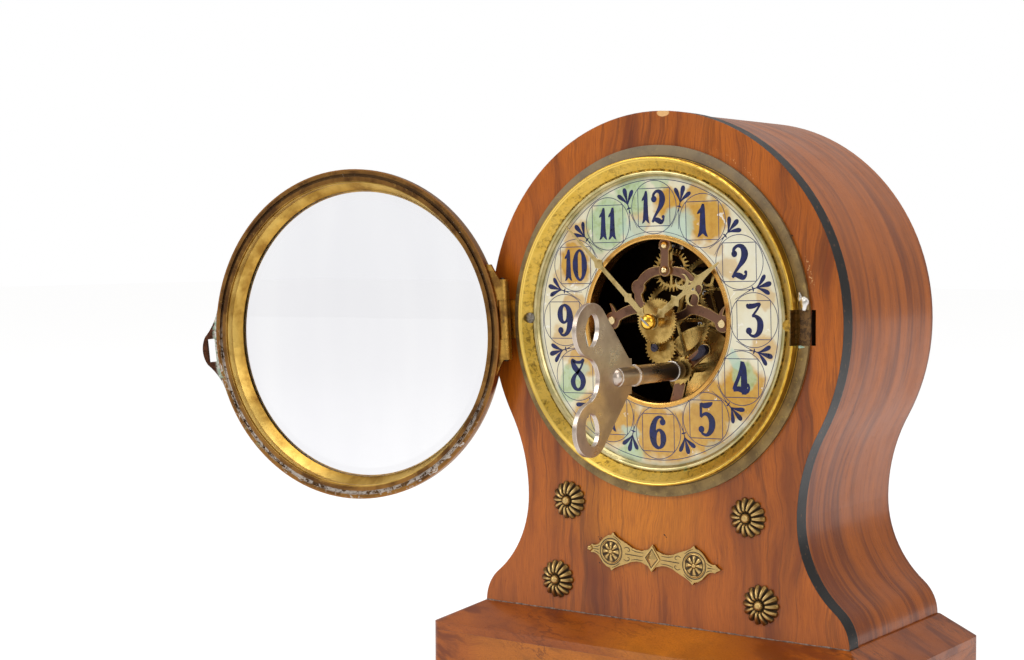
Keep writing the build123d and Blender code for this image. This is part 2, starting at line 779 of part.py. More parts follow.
def hand_nut():
    # a domed brass collet with a slotted steel pin through it
    front = minute_hand_y - 0.2
    profile = [Line((0, front), (nut_radius, front)),
               Line((nut_radius, front), (nut_radius, front - 0.7)),
               ThreePointArc((nut_radius, front - 0.7), (nut_radius * 0.75, front - nut_height * 0.72),
                             (0, front - nut_height)),
               Line((0, front - nut_height), (0, front))]
    dome = revolve(make_face(profile), Axis.Y)
    slot = Rot(0, 48, 0) * Box(2.6, 0.8, 0.5)
    return dome - Pos(0, front - nut_height, 0) * slot


# Going train

def arbor(pinion_teeth, module, pinion_front, phase, front, back, hub_y):
    # a steel arbor with its pinion leaves, pivots at both ends and a collet for its wheel
    shaft = rod(arbor_radius, front_plate_back_y + plate_end_gap, back_plate_y - plate_end_gap)
    shaft += rod(pivot_radius, front, back)
    leaves = toothed(pinion_teeth, module, phase)
    shaft += slab(leaves, pinion_front, pinion_front + pinion_length)
    shaft += rod(1.7, hub_y, hub_y + 1.2)
    return shaft


def centre_arbor():
    shaft = rod(arbor_radius, minute_hand_y, back_plate_y - plate_end_gap)
    shaft += rod(pivot_radius, back_plate_y - plate_end_gap, back_plate_back_y)
    leaves = toothed(centre_pinion_teeth, barrel_module, centre_pinion_phase)
    shaft += slab(leaves, barrel_wheel_y - 0.5, barrel_wheel_y + barrel_wheel_thickness + 0.5)
    return shaft + rod(1.7, centre_wheel_y + wheel_thickness, centre_wheel_y + wheel_thickness + 1.2)


def centre_wheel():
    outline = wheel_outline(centre_wheel_teeth, centre_module, 5, 2.6, 1.8) - Circle(arbor_radius)
    return slab(outline, centre_wheel_y, centre_wheel_y + wheel_thickness)


def third_arbor():
    phase = mesh_phase(centre_wheel_teeth, 0, third_pinion_teeth, third_arbor_bearing)
    shaft = arbor(third_pinion_teeth, centre_module, centre_wheel_y - 1, phase, front_plate_y,
                  back_plate_back_y, third_wheel_y + wheel_thickness)
    return Pos(third_x, 0, third_z) * shaft


def third_wheel():
    outline = wheel_outline(third_wheel_teeth, third_module, 5, 2.4, 1.6) - Circle(arbor_radius)
    return Pos(third_x, 0, third_z) * slab(outline, third_wheel_y, third_wheel_y + wheel_thickness)


def escape_arbor():
    bearing = degrees(atan2(-third_x, escape_z - third_z))
    phase = mesh_phase(third_wheel_teeth, 0, escape_pinion_teeth, bearing)
    shaft = arbor(escape_pinion_teeth, third_module, third_wheel_y - 1, phase,
                  front_plate_y - plate_thickness, back_plate_back_y, escape_wheel_y + wheel_thickness)
    return Pos(0, 0, escape_z) * shaft


def escape_wheel():
    # pointed teeth that lean forward, on a thin crossed-out rim
    root = escape_radius - escape_tooth_depth
    points = []
    step = 360 / escape_teeth
    for index in range(escape_teeth):
        middle = index * step
        points.append(on_circle((0, 0), root, 90 - middle))
        points.append(on_circle((0, 0), escape_radius, 90 - middle - 0.42 * step))
        points.append(on_circle((0, 0), escape_radius, 90 - middle - 0.52 * step))
        points.append(on_circle((0, 0), root, 90 - middle - 0.62 * step))
    outline = make_face(Polyline(*points, close=True))
    inner = root - 1.1
    web = Circle(inner) - Circle(2.0)
    for index in range(4):
        web -= Rot(0, 0, index * 90) * Pos(inner / 2, 0) * Rectangle(inner, 1.0)
    outline = outline - web - Circle(arbor_radius)
    return Pos(0, 0, escape_z) * slab(outline, escape_wheel_y, escape_wheel_y + wheel_thickness * 0.8)


def mainspring_barrel():
    bore = winding_arbor_radius + running_fit
    phase = mesh_phase(centre_pinion_teeth, centre_pinion_phase, barrel_teeth, winding_arbor_bearing)
    wheel = slab(toothed(barrel_teeth, barrel_module, phase) - Circle(bore), barrel_wheel_y,
                 barrel_wheel_y + barrel_wheel_thickness)
    wheel += tube(barrel_radius, barrel_radius - barrel_wall, barrel_front_y, barrel_wheel_y)
    return Pos(winding_x, 0, winding_z) * wheel


def barrel_cap():
    cap = tube(barrel_radius - barrel_wall - running_fit, winding_arbor_radius + running_fit, barrel_front_y,
               barrel_front_y + barrel_cap_thickness)
    return Pos(winding_x, 0, winding_z) * cap


def mainspring():
    # a flat spiral of half turns, each one tangent to the next
    def station(index, extra):
        reach = winding_arbor_radius + spring_hub_wall + spring_hub_gap + index * spring_pitch / 2 + extra
        return reach if index % 2 == 0 else -reach

    edges = []
    count = 2 * spring_turns
    for index in range(count):
        rise = 1 if index % 2 == 0 else -1
        for extra in (0, spring_leaf):
            start = station(index, extra)
            end = station(index + 1, extra)
            crown = ((start + end) / 2, rise * abs(start - end) / 2)
            edges.append(ThreePointArc((start, 0), crown, (end, 0)))
    edges.append(Line((station(0, 0), 0), (station(0, spring_leaf), 0)))
    edges.append(Line((station(count, 0), 0), (station(count, spring_leaf), 0)))
    front = barrel_front_y + barrel_cap_thickness + spring_side_gap
    coil = slab(make_face(edges), front, barrel_wheel_y - spring_side_gap)
    return Pos(winding_x, 0, winding_z) * coil


# Winding work

def winding_arbor():
    back = back_plate_back_y
    shaft = rod(winding_arbor_radius, front_plate_y - 1.8, back)
    square = Rectangle(winding_square, winding_square)
    shaft += slab(square, key_tube_end_y + 0.3 - winding_square_length, front_plate_y - 1.8)
    hub_front = barrel_front_y + barrel_cap_thickness + spring_side_gap
    shaft += rod(winding_arbor_radius + spring_hub_wall, hub_front, barrel_wheel_y - spring_side_gap)
    return Pos(winding_x, 0, winding_z) * shaft


def ratchet_wheel():
    points = []
    step = 360 / ratchet_teeth
    for index in range(ratchet_teeth):
        points.append(on_circle((0, 0), ratchet_radius, 90 - index * step))
        points.append(on_circle((0, 0), ratchet_radius - ratchet_tooth_depth, 90 - index * step - 2))
    outline = make_face(Polyline(*points, close=True)) - Circle(winding_arbor_radius)
    back = front_plate_y - click_plate_gap
    return Pos(winding_x, 0, winding_z) * slab(outline, back - ratchet_thickness, back)


def click():
    # a small pawl whose nose stands just off the ratchet's tips
    toward = (winding_x - click_place[0], winding_z - click_place[1])
    reach = hypot(*toward)
    nose_share = (reach - ratchet_radius - click_gap - 0.4) / reach
    nose = (click_place[0] + toward[0] * nose_share, click_place[1] + toward[1] * nose_share)
    outline = Pos(*click_place) * Circle(2.3) + strap(click_place, nose, 3.4, 0.8, 0.6)
    outline -= Pos(*click_place) * Circle(minute_stud_radius + running_fit)
    back = front_plate_y - click_plate_gap
    return slab(outline, back - click_thickness, back)


def click_screw():
    click_front = front_plate_y - click_plate_gap - click_thickness
    head_back = click_front - 0.1
    head_front = head_back - click_screw_head
    shank = rod(minute_stud_radius, head_back, front_plate_back_y, click_place)
    head = rod(click_screw_radius, head_front, head_back, click_place)
    slot = Pos(click_place[0], head_front, click_place[1]) * Box(5, 0.8, 0.5)
    return shank + head - slot


# Escapement and pendulum

def pallet_anchor():
    # an anchor over the escape wheel; both pallets stand off the circle of its tips
    hub = Circle(2.1)
    drop = pallet_z - escape_z
    outline = hub
    clear = escape_radius + pallet_gap
    for side in (-1, 1):
        turn = radians(side * pallet_half_span)
        tip = ((clear + 0.7) * sin(turn), (clear + 0.7) * cos(turn) - drop)
        outline += strap((0, 0), (tip[0] * 1.25, tip[1] * 0.55), 2.2, 1.8)
        outline += strap((tip[0] * 1.25, tip[1] * 0.45), tip, 1.8, 1.1)
    outline -= Pos(0, -drop) * Circle(clear)
    outline -= Circle(arbor_radius)
    return Pos(*spot(pallet_place)) * slab(outline, escape_wheel_y - 0.3, escape_wheel_y + 1.3)


def spot(at):
    return (at[0], 0, at[1])


def pallet_arbor():
    front = front_plate_y - plate_thickness
    shaft = rod(arbor_radius, front + plate_thickness + plate_end_gap, crutch_y + 1.6)
    shaft += rod(pivot_radius, front, front + plate_thickness + plate_end_gap)
    return Pos(*spot(pallet_place)) * shaft


def crutch():
    outline = Circle(2.4) + strap((0, 0), (0, -crutch_length + 4), 2.2, 1.8)
    fork = Pos(0, -crutch_length + 2) * Rectangle(6.4, 6.0)
    outline += fork
    outline -= Circle(arbor_radius)
    arm = slab(outline, crutch_y, crutch_y + 1.2)
    prongs = Pos(0, -crutch_length + 1) * Rectangle(6.4, 4.0)
    prongs -= Pos(0, -crutch_length + 1) * Rectangle(2 * (rod_radius + crutch_gap), 4.0)
    arm += slab(prongs, crutch_y, pendulum_y + rod_radius + 1)
    return Pos(*spot(pallet_place)) * arm


def suspension_cock():
    # a bracket on the back plate with the pin that the pendulum hangs on
    top = suspension_top
    face_y = pendulum_y + suspension_face_gap
    end_y = face_y + suspension_plate
    foot = slab(Pos(0, top) * Rectangle(suspension_width, 0.7 * suspension_width), back_plate_back_y,
                back_plate_back_y + suspension_plate)
    arm = slab(Pos(0, top) * Rectangle(suspension_width, top / 4), back_plate_back_y, end_y)
    face = slab(Pos(0, 0.4 * top) * Rectangle(suspension_width, 1.45 * top), face_y, end_y)
    pin = rod(arbor_radius, pendulum_y - 1.4, face_y)
    return Pos(*spot(pallet_place)) * (foot + arm + face + pin)


def pendulum_rod():
    eye_face = Circle(pendulum_eye_radius) - Circle(arbor_radius + running_fit)
    eye = slab(eye_face, pendulum_y - rod_radius, pendulum_y + rod_radius)
    end = -pendulum_length + bob_radius
    foot = Pos(0, pendulum_y, end)
    stem = foot * upright(rod_radius, -end - pendulum_eye_radius + 0.2)
    tail = foot * upright(pendulum_tail_radius, 3)
    return Pos(*spot(pallet_place)) * (eye + stem + tail)


def pendulum_bob():
    # a lens-shaped brass bob
    half = bob_thickness / 2
    front = [(0, -half), (bob_radius * 0.6, -half * 0.8), (bob_radius * 0.9, -half * 0.45),
             (bob_radius, -half * 0.15)]
    back = [(radius, -depth) for radius, depth in reversed(front)]
    return Pos(0, pendulum_y, pallet_z - pendulum_length) * turned(front + back)


# Key

def key_barrel():
    socket = winding_square + 2 * key_bore_gap
    body = rod(key_radius, key_back_y, key_tube_end_y)
    neck = tube(key_radius + 0.5, key_radius - 0.1, key_ring_y - 0.8, key_ring_y + 0.8)
    collar = tube(key_radius + 0.35, key_radius - 0.1, key_tube_end_y - 5, key_tube_end_y - 4)
    cap = Pos(0, key_back_y, 0) * Sphere(key_radius * 0.94)
    key = body + neck + collar + cap
    key -= slab(Rectangle(socket, socket), key_tube_end_y - key_socket_depth, key_tube_end_y + 1)
    slit = Pos(0, (key_bow_waist_front_y + key_ring_y) / 2 - 5, 0)
    key -= slit * Box(key_bow_thickness + 2 * running_fit, key_ring_y - key_bow_waist_front_y + 10,
                      4 * key_radius)
    return Pos(winding_x, 0, winding_z) * key


def key_bow():
    # a figure-of-eight plate in Y and Z, its waist an arc tangent to both lobes, eared at the barrel
    lobe_z = key_bow_height / 2 - key_lobe_radius
    lobe_y = key_bow_front_y + key_lobe_radius
    lead = key_bow_waist_front_y - lobe_y
    waist_radius = (lead**2 + lobe_z**2 - key_lobe_radius**2) / (2 * (key_lobe_radius + lead))
    waist_y = key_bow_waist_front_y - waist_radius
    share = waist_radius / (waist_radius + key_lobe_radius)
    ear_y = key_bow_waist_back_y - key_ear_length
    reach = hypot(lobe_y - ear_y, lobe_z - key_ear_half_height)
    lean = degrees(atan2(lobe_z - key_ear_half_height, lobe_y - ear_y))
    tangent = lean + 180 + degrees(atan2(sqrt(reach**2 - key_lobe_radius**2), key_lobe_radius))
    back = on_circle((lobe_y, lobe_z), key_lobe_radius, tangent)
    upper = [(waist_y + share * (lobe_y - waist_y), share * lobe_z), (lobe_y, lobe_z), back,
             (ear_y, key_ear_half_height), (key_bow_waist_back_y, key_ear_half_height)]
    lower = [(depth, -height) for depth, height in reversed(upper)]
    outline = make_face(Polyline(*upper, *lower, close=True)) - Pos(waist_y, 0) * Circle(waist_radius)
    for side in (-1, 1):
        outline += Pos(lobe_y, side * lobe_z) * Circle(key_lobe_radius)
    for side in (-1, 1):
        lean_hole = Pos(lobe_y, side * lobe_z) * Rot(0, 0, side * -12)
        outline -= lean_hole * Ellipse(key_hole_half_width, key_hole_half_height)
    blank = extrude(Plane.YZ * outline, amount=key_bow_thickness / 2, both=True)
    body = rod(key_radius - 1, key_ring_y - 1, key_tube_end_y)
    return Pos(winding_x, 0, winding_z) * (blank - body)


# Door

def hinge_frame():
    return Pos(hinge_x, -hinge_forward, -hinge_drop) * Rot(0, -hinge_lean, 0)


def knuckle(low, high, radius, bore):
    return Pos(0, 0, low) * extrude(Circle(radius) - Circle(bore), amount=high - low)


def case_leaf_blank(depth, grow):
    # the plate let into the board behind the flange
    width = hinge_leaf_inset_width + hinge_web / 2
    plate = Pos(width / 2 - hinge_web / 2, hinge_forward + depth / 2, 0)
    return plate * Box(width + 2 * grow, depth, case_knuckle_length + 2 * grow)


def case_hinge_leaf():
    bore = hinge_pin_radius + running_fit
    half = case_knuckle_length / 2
    leaf = knuckle(-half, half, knuckle_radius, bore)
    web = Box(hinge_web, hinge_forward - bore, case_knuckle_length)
    leaf += Pos(0, (hinge_forward + bore) / 2 + 0.01, 0) * web
    leaf += case_leaf_blank(hinge_leaf_thickness, 0)
    return hinge_frame() * leaf


def hinge_pin():
    end = hinge_half_length + hinge_pin_end
    return hinge_frame() * Pos(0, 0, -end) * upright(hinge_pin_radius, 2 * end)


def hinge_relief(radius, length):
    return hinge_frame() * Cylinder(radius, length)


def door_ring():
    groove_radius = (door_inner_radius + door_radius) / 2
    groove_half = door_groove_width / 2
    rim_y = door_rear_y - door_rim
    seat_radius = glass_radius + 0.15
    slope_y = -(ridge_height + 0.6)
    crest_radius = glass_radius
    profile = [Polyline((door_inner_radius, door_rear_y), (groove_radius - groove_half, door_rear_y),
                        (groove_radius - groove_half, door_rear_y - door_groove_depth),
                        (groove_radius + groove_half, door_rear_y - door_groove_depth),
                        (groove_radius + groove_half, door_rear_y), (door_radius, door_rear_y),
                        (door_radius, rim_y)),
               ThreePointArc((door_radius, rim_y), (door_radius - 2.1, door_front_y + 3.1),
                             (crest_radius, door_front_y)),
               Polyline((crest_radius, door_front_y), (glass_sight_radius - 0.7, door_front_y + 0.2),
                        (glass_sight_radius - 0.7, glass_front_y - 0.05), (seat_radius, glass_front_y - 0.05),
                        (seat_radius, glass_rear_y), (door_inner_radius, slope_y),
                        (door_inner_radius, door_rear_y))]
    ring = revolve(make_face(profile), Axis.Y)
    ring -= hinge_relief(knuckle_radius + 0.35, case_knuckle_length + 0.8)
    ring -= hinge_relief(knuckle_radius + running_fit, 2 * hinge_half_length + 1.5)
    return ring


def glass_retainer():
    outer = door_inner_radius - running_fit
    slope_y = -(ridge_height + 0.6)
    seat_radius = glass_radius + 0.1
    inner = outer - retainer_wall
    return turned([(glass_sight_radius, glass_rear_y + 0.05), (seat_radius, glass_rear_y + 0.05),
                   (outer, slope_y - 0.1), (outer, door_rear_y - 1.0), (inner, door_rear_y - 1.0),
                   (inner, slope_y + 0.3)])


def door_glass():
    bevel = glass_radius - glass_bevel_width
    edge_y = glass_front_y + glass_bevel_depth
    return turned([(0, glass_rear_y), (glass_radius, glass_rear_y), (glass_radius, edge_y),
                   (bevel, glass_front_y), (0, glass_front_y)])


def door_hinge_leaf():
    # spandrels between the round rim and the straight pin line, with a knuckle at each end
    bore = hinge_pin_radius - running_fit
    inner = case_knuckle_length / 2 + knuckle_gap
    leaf_y = -hinge_forward + knuckle_radius - hinge_leaf_thickness
    half = hinge_leaf_height / 2
    reach = flange_radius + hinge_outset
    plate = Polyline((0, hinge_half_length), (0, -hinge_half_length), (2.2, -hinge_half_length - 3.5),
                     (4.0, -half), (reach / 2, -half), (reach / 2, half), (4.0, half),
                     (2.2, hinge_half_length + 3.5), close=True)
    blank = slab(make_face(plate), leaf_y, leaf_y + hinge_leaf_thickness)
    blank = Pos(hinge_x, 0, -hinge_drop) * Rot(0, -hinge_lean, 0) * blank
    blank -= rod(door_radius + running_fit, -20, 20)
    blank -= hinge_relief(knuckle_radius + 0.35, case_knuckle_length + 2 * knuckle_gap)
    blank -= hinge_relief(knuckle_radius - 0.4, 2 * hinge_half_length + 10)
    knuckles = knuckle(inner, hinge_half_length, knuckle_radius, bore + 2 * running_fit)
    knuckles += knuckle(-hinge_half_length, -inner, knuckle_radius, bore + 2 * running_fit)
    return blank + hinge_frame() * knuckles


def thumb_tab():
    # a swept lip on the free side, with a slot through it
    tip = door_radius + thumb_tab_reach
    half = thumb_tab_half_height
    shoulder = sqrt(door_radius**2 - half**2)
    edges = [ThreePointArc((shoulder, -half), (door_radius + 1.6, -half * 0.62), (tip - 2.2, -half * 0.36)),
             ThreePointArc((tip - 2.2, -half * 0.36), (tip, 0), (tip - 2.2, half * 0.36)),
             ThreePointArc((tip - 2.2, half * 0.36), (door_radius + 1.6, half * 0.62), (shoulder, half)),
             Line((shoulder, half), (shoulder, -half))]
    outline = make_face(edges) - Circle(door_radius + running_fit)
    slot_x = door_radius + thumb_slot_gap + thumb_slot_width / 2
    outline -= Pos(slot_x, 0) * Rectangle(thumb_slot_width, thumb_slot_height)
    return slab(outline, door_rear_y - thumb_tab_thickness, door_rear_y)


def swung(shape):
    lean = radians(hinge_lean)
    axis = Axis((hinge_x, -hinge_forward, -hinge_drop), (-sin(lean), 0, cos(lean)))
    return shape.rotate(axis, -door_open_angle)


# Back door

def back_door():
    # a thin disc with one knuckle, on a neck, between the two of the fixed leaf
    disc = rod(back_door_radius, back_door_front_y, back_door_front_y + back_door_thickness)
    third = back_hinge_height / 3
    tongue = Pos(1 - back_door_radius, back_hinge_y, 0)
    disc += tongue * Box(2 * back_knuckle_radius + 4, back_door_thickness, third)
    axle = Pos(back_hinge_x, back_hinge_y, 0)
    disc -= axle * Cylinder(back_knuckle_radius + back_knuckle_gap, back_hinge_height + 2)
    turning = third - back_knuckle_gap
    disc += axle * (Cylinder(back_knuckle_radius, turning) - Cylinder(back_pin_radius + running_fit, third))
    neck = Pos(back_hinge_x + back_knuckle_radius + 0.6, back_hinge_y - 0.4, 0)
    disc += neck * Box(2.4, back_door_thickness, turning)
    return disc


def back_hinge_leaf():
    # two knuckles on a plate let on to the back board, and the pin through them
    third = back_hinge_height / 3
    axle = Pos(back_hinge_x, back_hinge_y, 0)
    leaf = axle * Cylinder(back_pin_radius, back_hinge_height)
    for side in (-1, 1):
        end = Pos(back_hinge_x, back_hinge_y, side * third)
        leaf += end * Cylinder(back_knuckle_radius, third)
        foot = Pos(back_hinge_x - 3, back_face_y + 0.4, side * third)
        leaf += foot * Box(6, 0.8, third)
        web = Pos(back_hinge_x - 0.5, (back_face_y + back_hinge_y) / 2, side * third)
        leaf += web * Box(1.0, back_hinge_y - back_face_y, third)
    return leaf


def back_knob():
    base = back_door_front_y + back_door_thickness
    end = base + back_knob_height
    knob = turned([(0, base), (2.4, base), (1.5, base + 2), (1.5, end - 5), (back_knob_radius, end - 3),
                   (back_knob_radius, end - 1.5), (2.6, end), (0, end)])
    return Pos(back_opening_radius - 2 * back_knob_radius, 0, 0) * knob


centre_pinion_phase = mesh_phase(1, 0, centre_pinion_teeth, 0)

parts["plinth_frame"] = plinth_frame()
parts["plinth_cap"] = plinth_cap()
parts["base_board"] = base_board()
parts["front_board"] = front_board()
parts["case_shell"] = case_shell()
parts["back_board"] = back_board()
parts["rosettes"] = rosettes()
parts["brass_mount"] = brass_mount()
parts["bezel_ring"] = bezel_ring()
parts["bezel_screws"] = bezel_screws()
parts["dial_plate"] = dial_plate()
parts["dial_pan"] = dial_pan()
parts["centre_ring"] = centre_ring()
parts["movement_drum"] = movement_drum()
parts["front_plate"] = front_plate()
parts["back_plate"] = back_plate()
parts["plate_pillars"] = plate_pillars()
parts["escape_cock"] = escape_cock()
parts["pivot_caps"] = pivot_caps()
parts["minute_wheel_stud"] = minute_wheel_stud()
parts["cannon_pinion"] = cannon_pinion()
parts["minute_hand"] = minute_hand()
parts["hand_nut"] = hand_nut()
parts["minute_wheel"] = minute_wheel()
parts["hour_wheel"] = hour_wheel()
parts["hour_hand"] = hour_hand()
parts["centre_arbor"] = centre_arbor()
parts["centre_wheel"] = centre_wheel()
parts["third_arbor"] = third_arbor()
parts["third_wheel"] = third_wheel()
parts["escape_arbor"] = escape_arbor()
parts["escape_wheel"] = escape_wheel()
parts["mainspring_barrel"] = mainspring_barrel()
parts["barrel_cap"] = barrel_cap()
parts["mainspring"] = mainspring()
parts["winding_arbor"] = winding_arbor()
parts["ratchet_wheel"] = ratchet_wheel()
parts["click"] = click()
parts["click_screw"] = click_screw()
parts["pallet_anchor"] = pallet_anchor()
parts["pallet_arbor"] = pallet_arbor()
parts["crutch"] = crutch()
parts["suspension_cock"] = suspension_cock()
parts["pendulum_rod"] = pendulum_rod()
parts["pendulum_bob"] = pendulum_bob()
parts["key_barrel"] = key_barrel()
parts["key_bow"] = key_bow()
parts["case_hinge_leaf"] = case_hinge_leaf()
parts["hinge_pin"] = hinge_pin()
parts["door_ring"] = swung(door_ring())
parts["glass_retainer"] = swung(glass_retainer())
parts["door_glass"] = swung(door_glass())
parts["door_hinge_leaf"] = swung(door_hinge_leaf())
parts["thumb_tab"] = swung(thumb_tab())
parts["back_door"] = back_door()
parts["back_hinge_leaf"] = back_hinge_leaf()
parts["back_knob"] = back_knob()

os.makedirs("parts", exist_ok=True)
for name, shape in parts.items():
    if isinstance(shape, list):
        shape = Compound(children=shape)
    export_step(place(shape), f"parts/{name}.step")
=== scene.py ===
import bpy
import bmesh
from math import atan2, cos, hypot, pi, radians, sin, sqrt
from mathutils import Matrix, Vector


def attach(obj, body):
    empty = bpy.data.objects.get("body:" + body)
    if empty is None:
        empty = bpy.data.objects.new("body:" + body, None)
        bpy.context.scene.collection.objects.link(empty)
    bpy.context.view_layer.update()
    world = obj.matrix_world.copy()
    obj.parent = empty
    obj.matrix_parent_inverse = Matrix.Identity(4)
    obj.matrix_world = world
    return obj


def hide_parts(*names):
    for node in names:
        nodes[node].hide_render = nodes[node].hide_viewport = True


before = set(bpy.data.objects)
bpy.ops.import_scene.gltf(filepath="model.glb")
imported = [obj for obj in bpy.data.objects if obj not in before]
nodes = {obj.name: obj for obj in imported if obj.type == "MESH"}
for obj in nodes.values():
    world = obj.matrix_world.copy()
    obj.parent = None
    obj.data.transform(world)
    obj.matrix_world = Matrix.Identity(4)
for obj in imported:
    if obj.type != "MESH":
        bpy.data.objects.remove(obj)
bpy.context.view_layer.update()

# The dial's centre on the front of the case: every piece below is drawn about it, in millimetres
dialCentre = Vector((0.0, -0.0365, 0.1645))


def toRow(x, y, z):
    return Vector((x / 1000, y / 1000, z / 1000)) + dialCentre


def tone(red, green, blue):
    # a screen colour (0 to 255) as the linear colour that Blender's sockets take
    out = []
    for value in (red, green, blue):
        share = value / 255
        out.append(share / 12.92 if share <= 0.04045 else ((share + 0.055) / 1.055) ** 2.4)
    return (out[0], out[1], out[2], 1.0)


# One node socket: sums written with it add their own Math nodes
class Wire:
    def __init__(self, tree, socket):
        self.tree = tree
        self.socket = socket

    def add(self, kind, settings=None, sockets=None, out=0):
        node = self.tree.nodes.new("ShaderNode" + kind)
        for name, value in (settings or {}).items():
            setattr(node, name, value)
        for name, value in (sockets or {}).items():
            if isinstance(value, Wire):
                self.tree.links.new(value.socket, node.inputs[name])
            else:
                node.inputs[name].default_value = value
        return Wire(self.tree, node.outputs[out])

    def sum(self, operation, *values):
        return self.add("Math", {"operation": operation}, dict(enumerate(values)))

    def __add__(self, other):
        return self.sum("ADD", self, other)

    def __sub__(self, other):
        return self.sum("SUBTRACT", self, other)

    def __rsub__(self, other):
        return self.sum("SUBTRACT", other, self)

    def __mul__(self, other):
        return self.sum("MULTIPLY", self, other)

    def __truediv__(self, other):
        return self.sum("DIVIDE", self, other)

    def __pow__(self, other):
        return self.sum("POWER", self, other)

    def __abs__(self):
        return self.sum("ABSOLUTE", self)

    __radd__ = __add__
    __rmul__ = __mul__

    def most(self, other):
        return self.sum("MAXIMUM", self, other)

    def fade(self, low, high):
        # 0 at low, 1 at high, easing at both ends; low may be the larger
        ends = {"From Min": low, "From Max": high}
        return self.add("MapRange", {"interpolation_type": "SMOOTHSTEP"}, {"Value": self, **ends})

    def band(self, middle, half, soft):
        return 1 - abs(self - middle).fade(half, half + soft)

    def split(self):
        node = self.add("SeparateXYZ", None, {0: self})
        parts = node.socket.node.outputs
        return [Wire(self.tree, parts[index]) for index in range(3)]

    def dot(self, vector):
        return self.add("VectorMath", {"operation": "DOT_PRODUCT"}, {0: self, 1: vector}, out=1)

    def noise(self, scale, detail=4.0, rough=0.5, twist=0.0):
        return self.add("TexNoise", None, {"Vector": self, "Scale": scale, "Detail": detail,
                                           "Roughness": rough, "Distortion": twist})


def joined(x, y, z):
    start = next(value for value in (x, y, z) if isinstance(value, Wire))
    return start.add("CombineXYZ", None, {0: x, 1: y, 2: z})


def blend(factor, first, second):
    return factor.add("Mix", {"data_type": "RGBA"}, {0: factor, 6: first, 7: second}, out=2)


class Finish:
    # a material being mixed: its places in millimetres about the dial, and its shader
    def __init__(self, name, bevel=0.0):
        self.material = bpy.data.materials.new(name)
        self.material.use_nodes = True
        tree = self.material.node_tree
        self.shader = tree.nodes["Principled BSDF"]
        self.tree = tree
        coords = tree.nodes.new("ShaderNodeTexCoord")
        place = Wire(tree, coords.outputs["Object"])
        self.raw = place
        self.facing = Wire(tree, coords.outputs["Normal"])
        x, y, z = place.split()
        self.x = x * 1000
        self.y = (y - dialCentre.y) * 1000
        self.z = (z - dialCentre.z) * 1000
        self.place = joined(self.x, self.y, self.z)
        self.bevel = bevel

    def stretched(self, acrossX, acrossY, acrossZ):
        # the same places with each direction shrunk by its own length, for grain and brushing
        return joined(self.x / acrossX, self.y / acrossY, self.z / acrossZ)

    def edges(self, radius):
        # 1 on the sharp edges of a form: a painted edge highlight, together with metal kept bright by
        #                                 handling
        rounded = self.raw.add("Bevel", {"samples": 4}, {"Radius": radius * 1.6 / 1000})
        flat = Wire(self.tree, self.tree.nodes.new("ShaderNodeNewGeometry").outputs["Normal"])
        meet = rounded.add("VectorMath", {"operation": "DOT_PRODUCT"}, {0: rounded, 1: flat}, out=1)
        return (1 - meet).fade(0.02, 0.16)

    def done(self, colour, rough, metal=0.0, height=None, strength=0.3, depth=0.0003, **fixed):
        shader = self.shader
        values = {"Base Color": colour, "Roughness": rough, "Metallic": metal}
        for name, value in values.items():
            if isinstance(value, Wire):
                self.tree.links.new(value.socket, shader.inputs[name])
            else:
                shader.inputs[name].default_value = value
        for name, value in fixed.items():
            if isinstance(value, Wire):
                self.tree.links.new(value.socket, shader.inputs[name.replace("_", " ")])
            else:
                shader.inputs[name.replace("_", " ")].default_value = value
        normal = None
        if self.bevel:
            normal = self.raw.add("Bevel", {"samples": 4}, {"Radius": self.bevel / 1000})
        if height is not None:
            sockets = {"Height": height, "Strength": strength, "Distance": depth}
            if normal:
                sockets["Normal"] = normal
            normal = self.raw.add("Bump", None, sockets)
        if normal:
            self.tree.links.new(normal.socket, shader.inputs["Normal"])
        return self.material


def dress(material, *names):
    for name in names:
        for place in nodes[name].material_slots:
            place.material = material


def newPiece(name, mesh, material, body="case", angle=35):
    piece = bpy.data.objects.new(name, mesh)
    bpy.context.scene.collection.objects.link(piece)
    mesh.materials.append(material)
    for face in mesh.polygons:
        face.use_smooth = True
    mesh.set_sharp_from_angle(angle=radians(angle))
    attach(piece, body)
    return piece


def meshOf(name, points, faces):
    mesh = bpy.data.meshes.new(name)
    mesh.from_pydata([tuple(point) for point in points], [], faces)
    mesh.update()
    return mesh


def cleaned(mesh):
    # joins points that meet, as at a pole, and turns every face outwards
    solid = bmesh.new()
    solid.from_mesh(mesh)
    bmesh.ops.remove_doubles(solid, verts=solid.verts, dist=1e-6)
    bmesh.ops.recalc_face_normals(solid, faces=solid.faces)
    solid.to_mesh(mesh)
    solid.free()
    return mesh

def around(middle, radius, angle):
    return (middle[0] + radius * cos(angle), middle[1] + radius * sin(angle))

def circle(middle, radius, steps):
    return [around(middle, radius, 2 * pi * index / steps) for index in range(steps)]

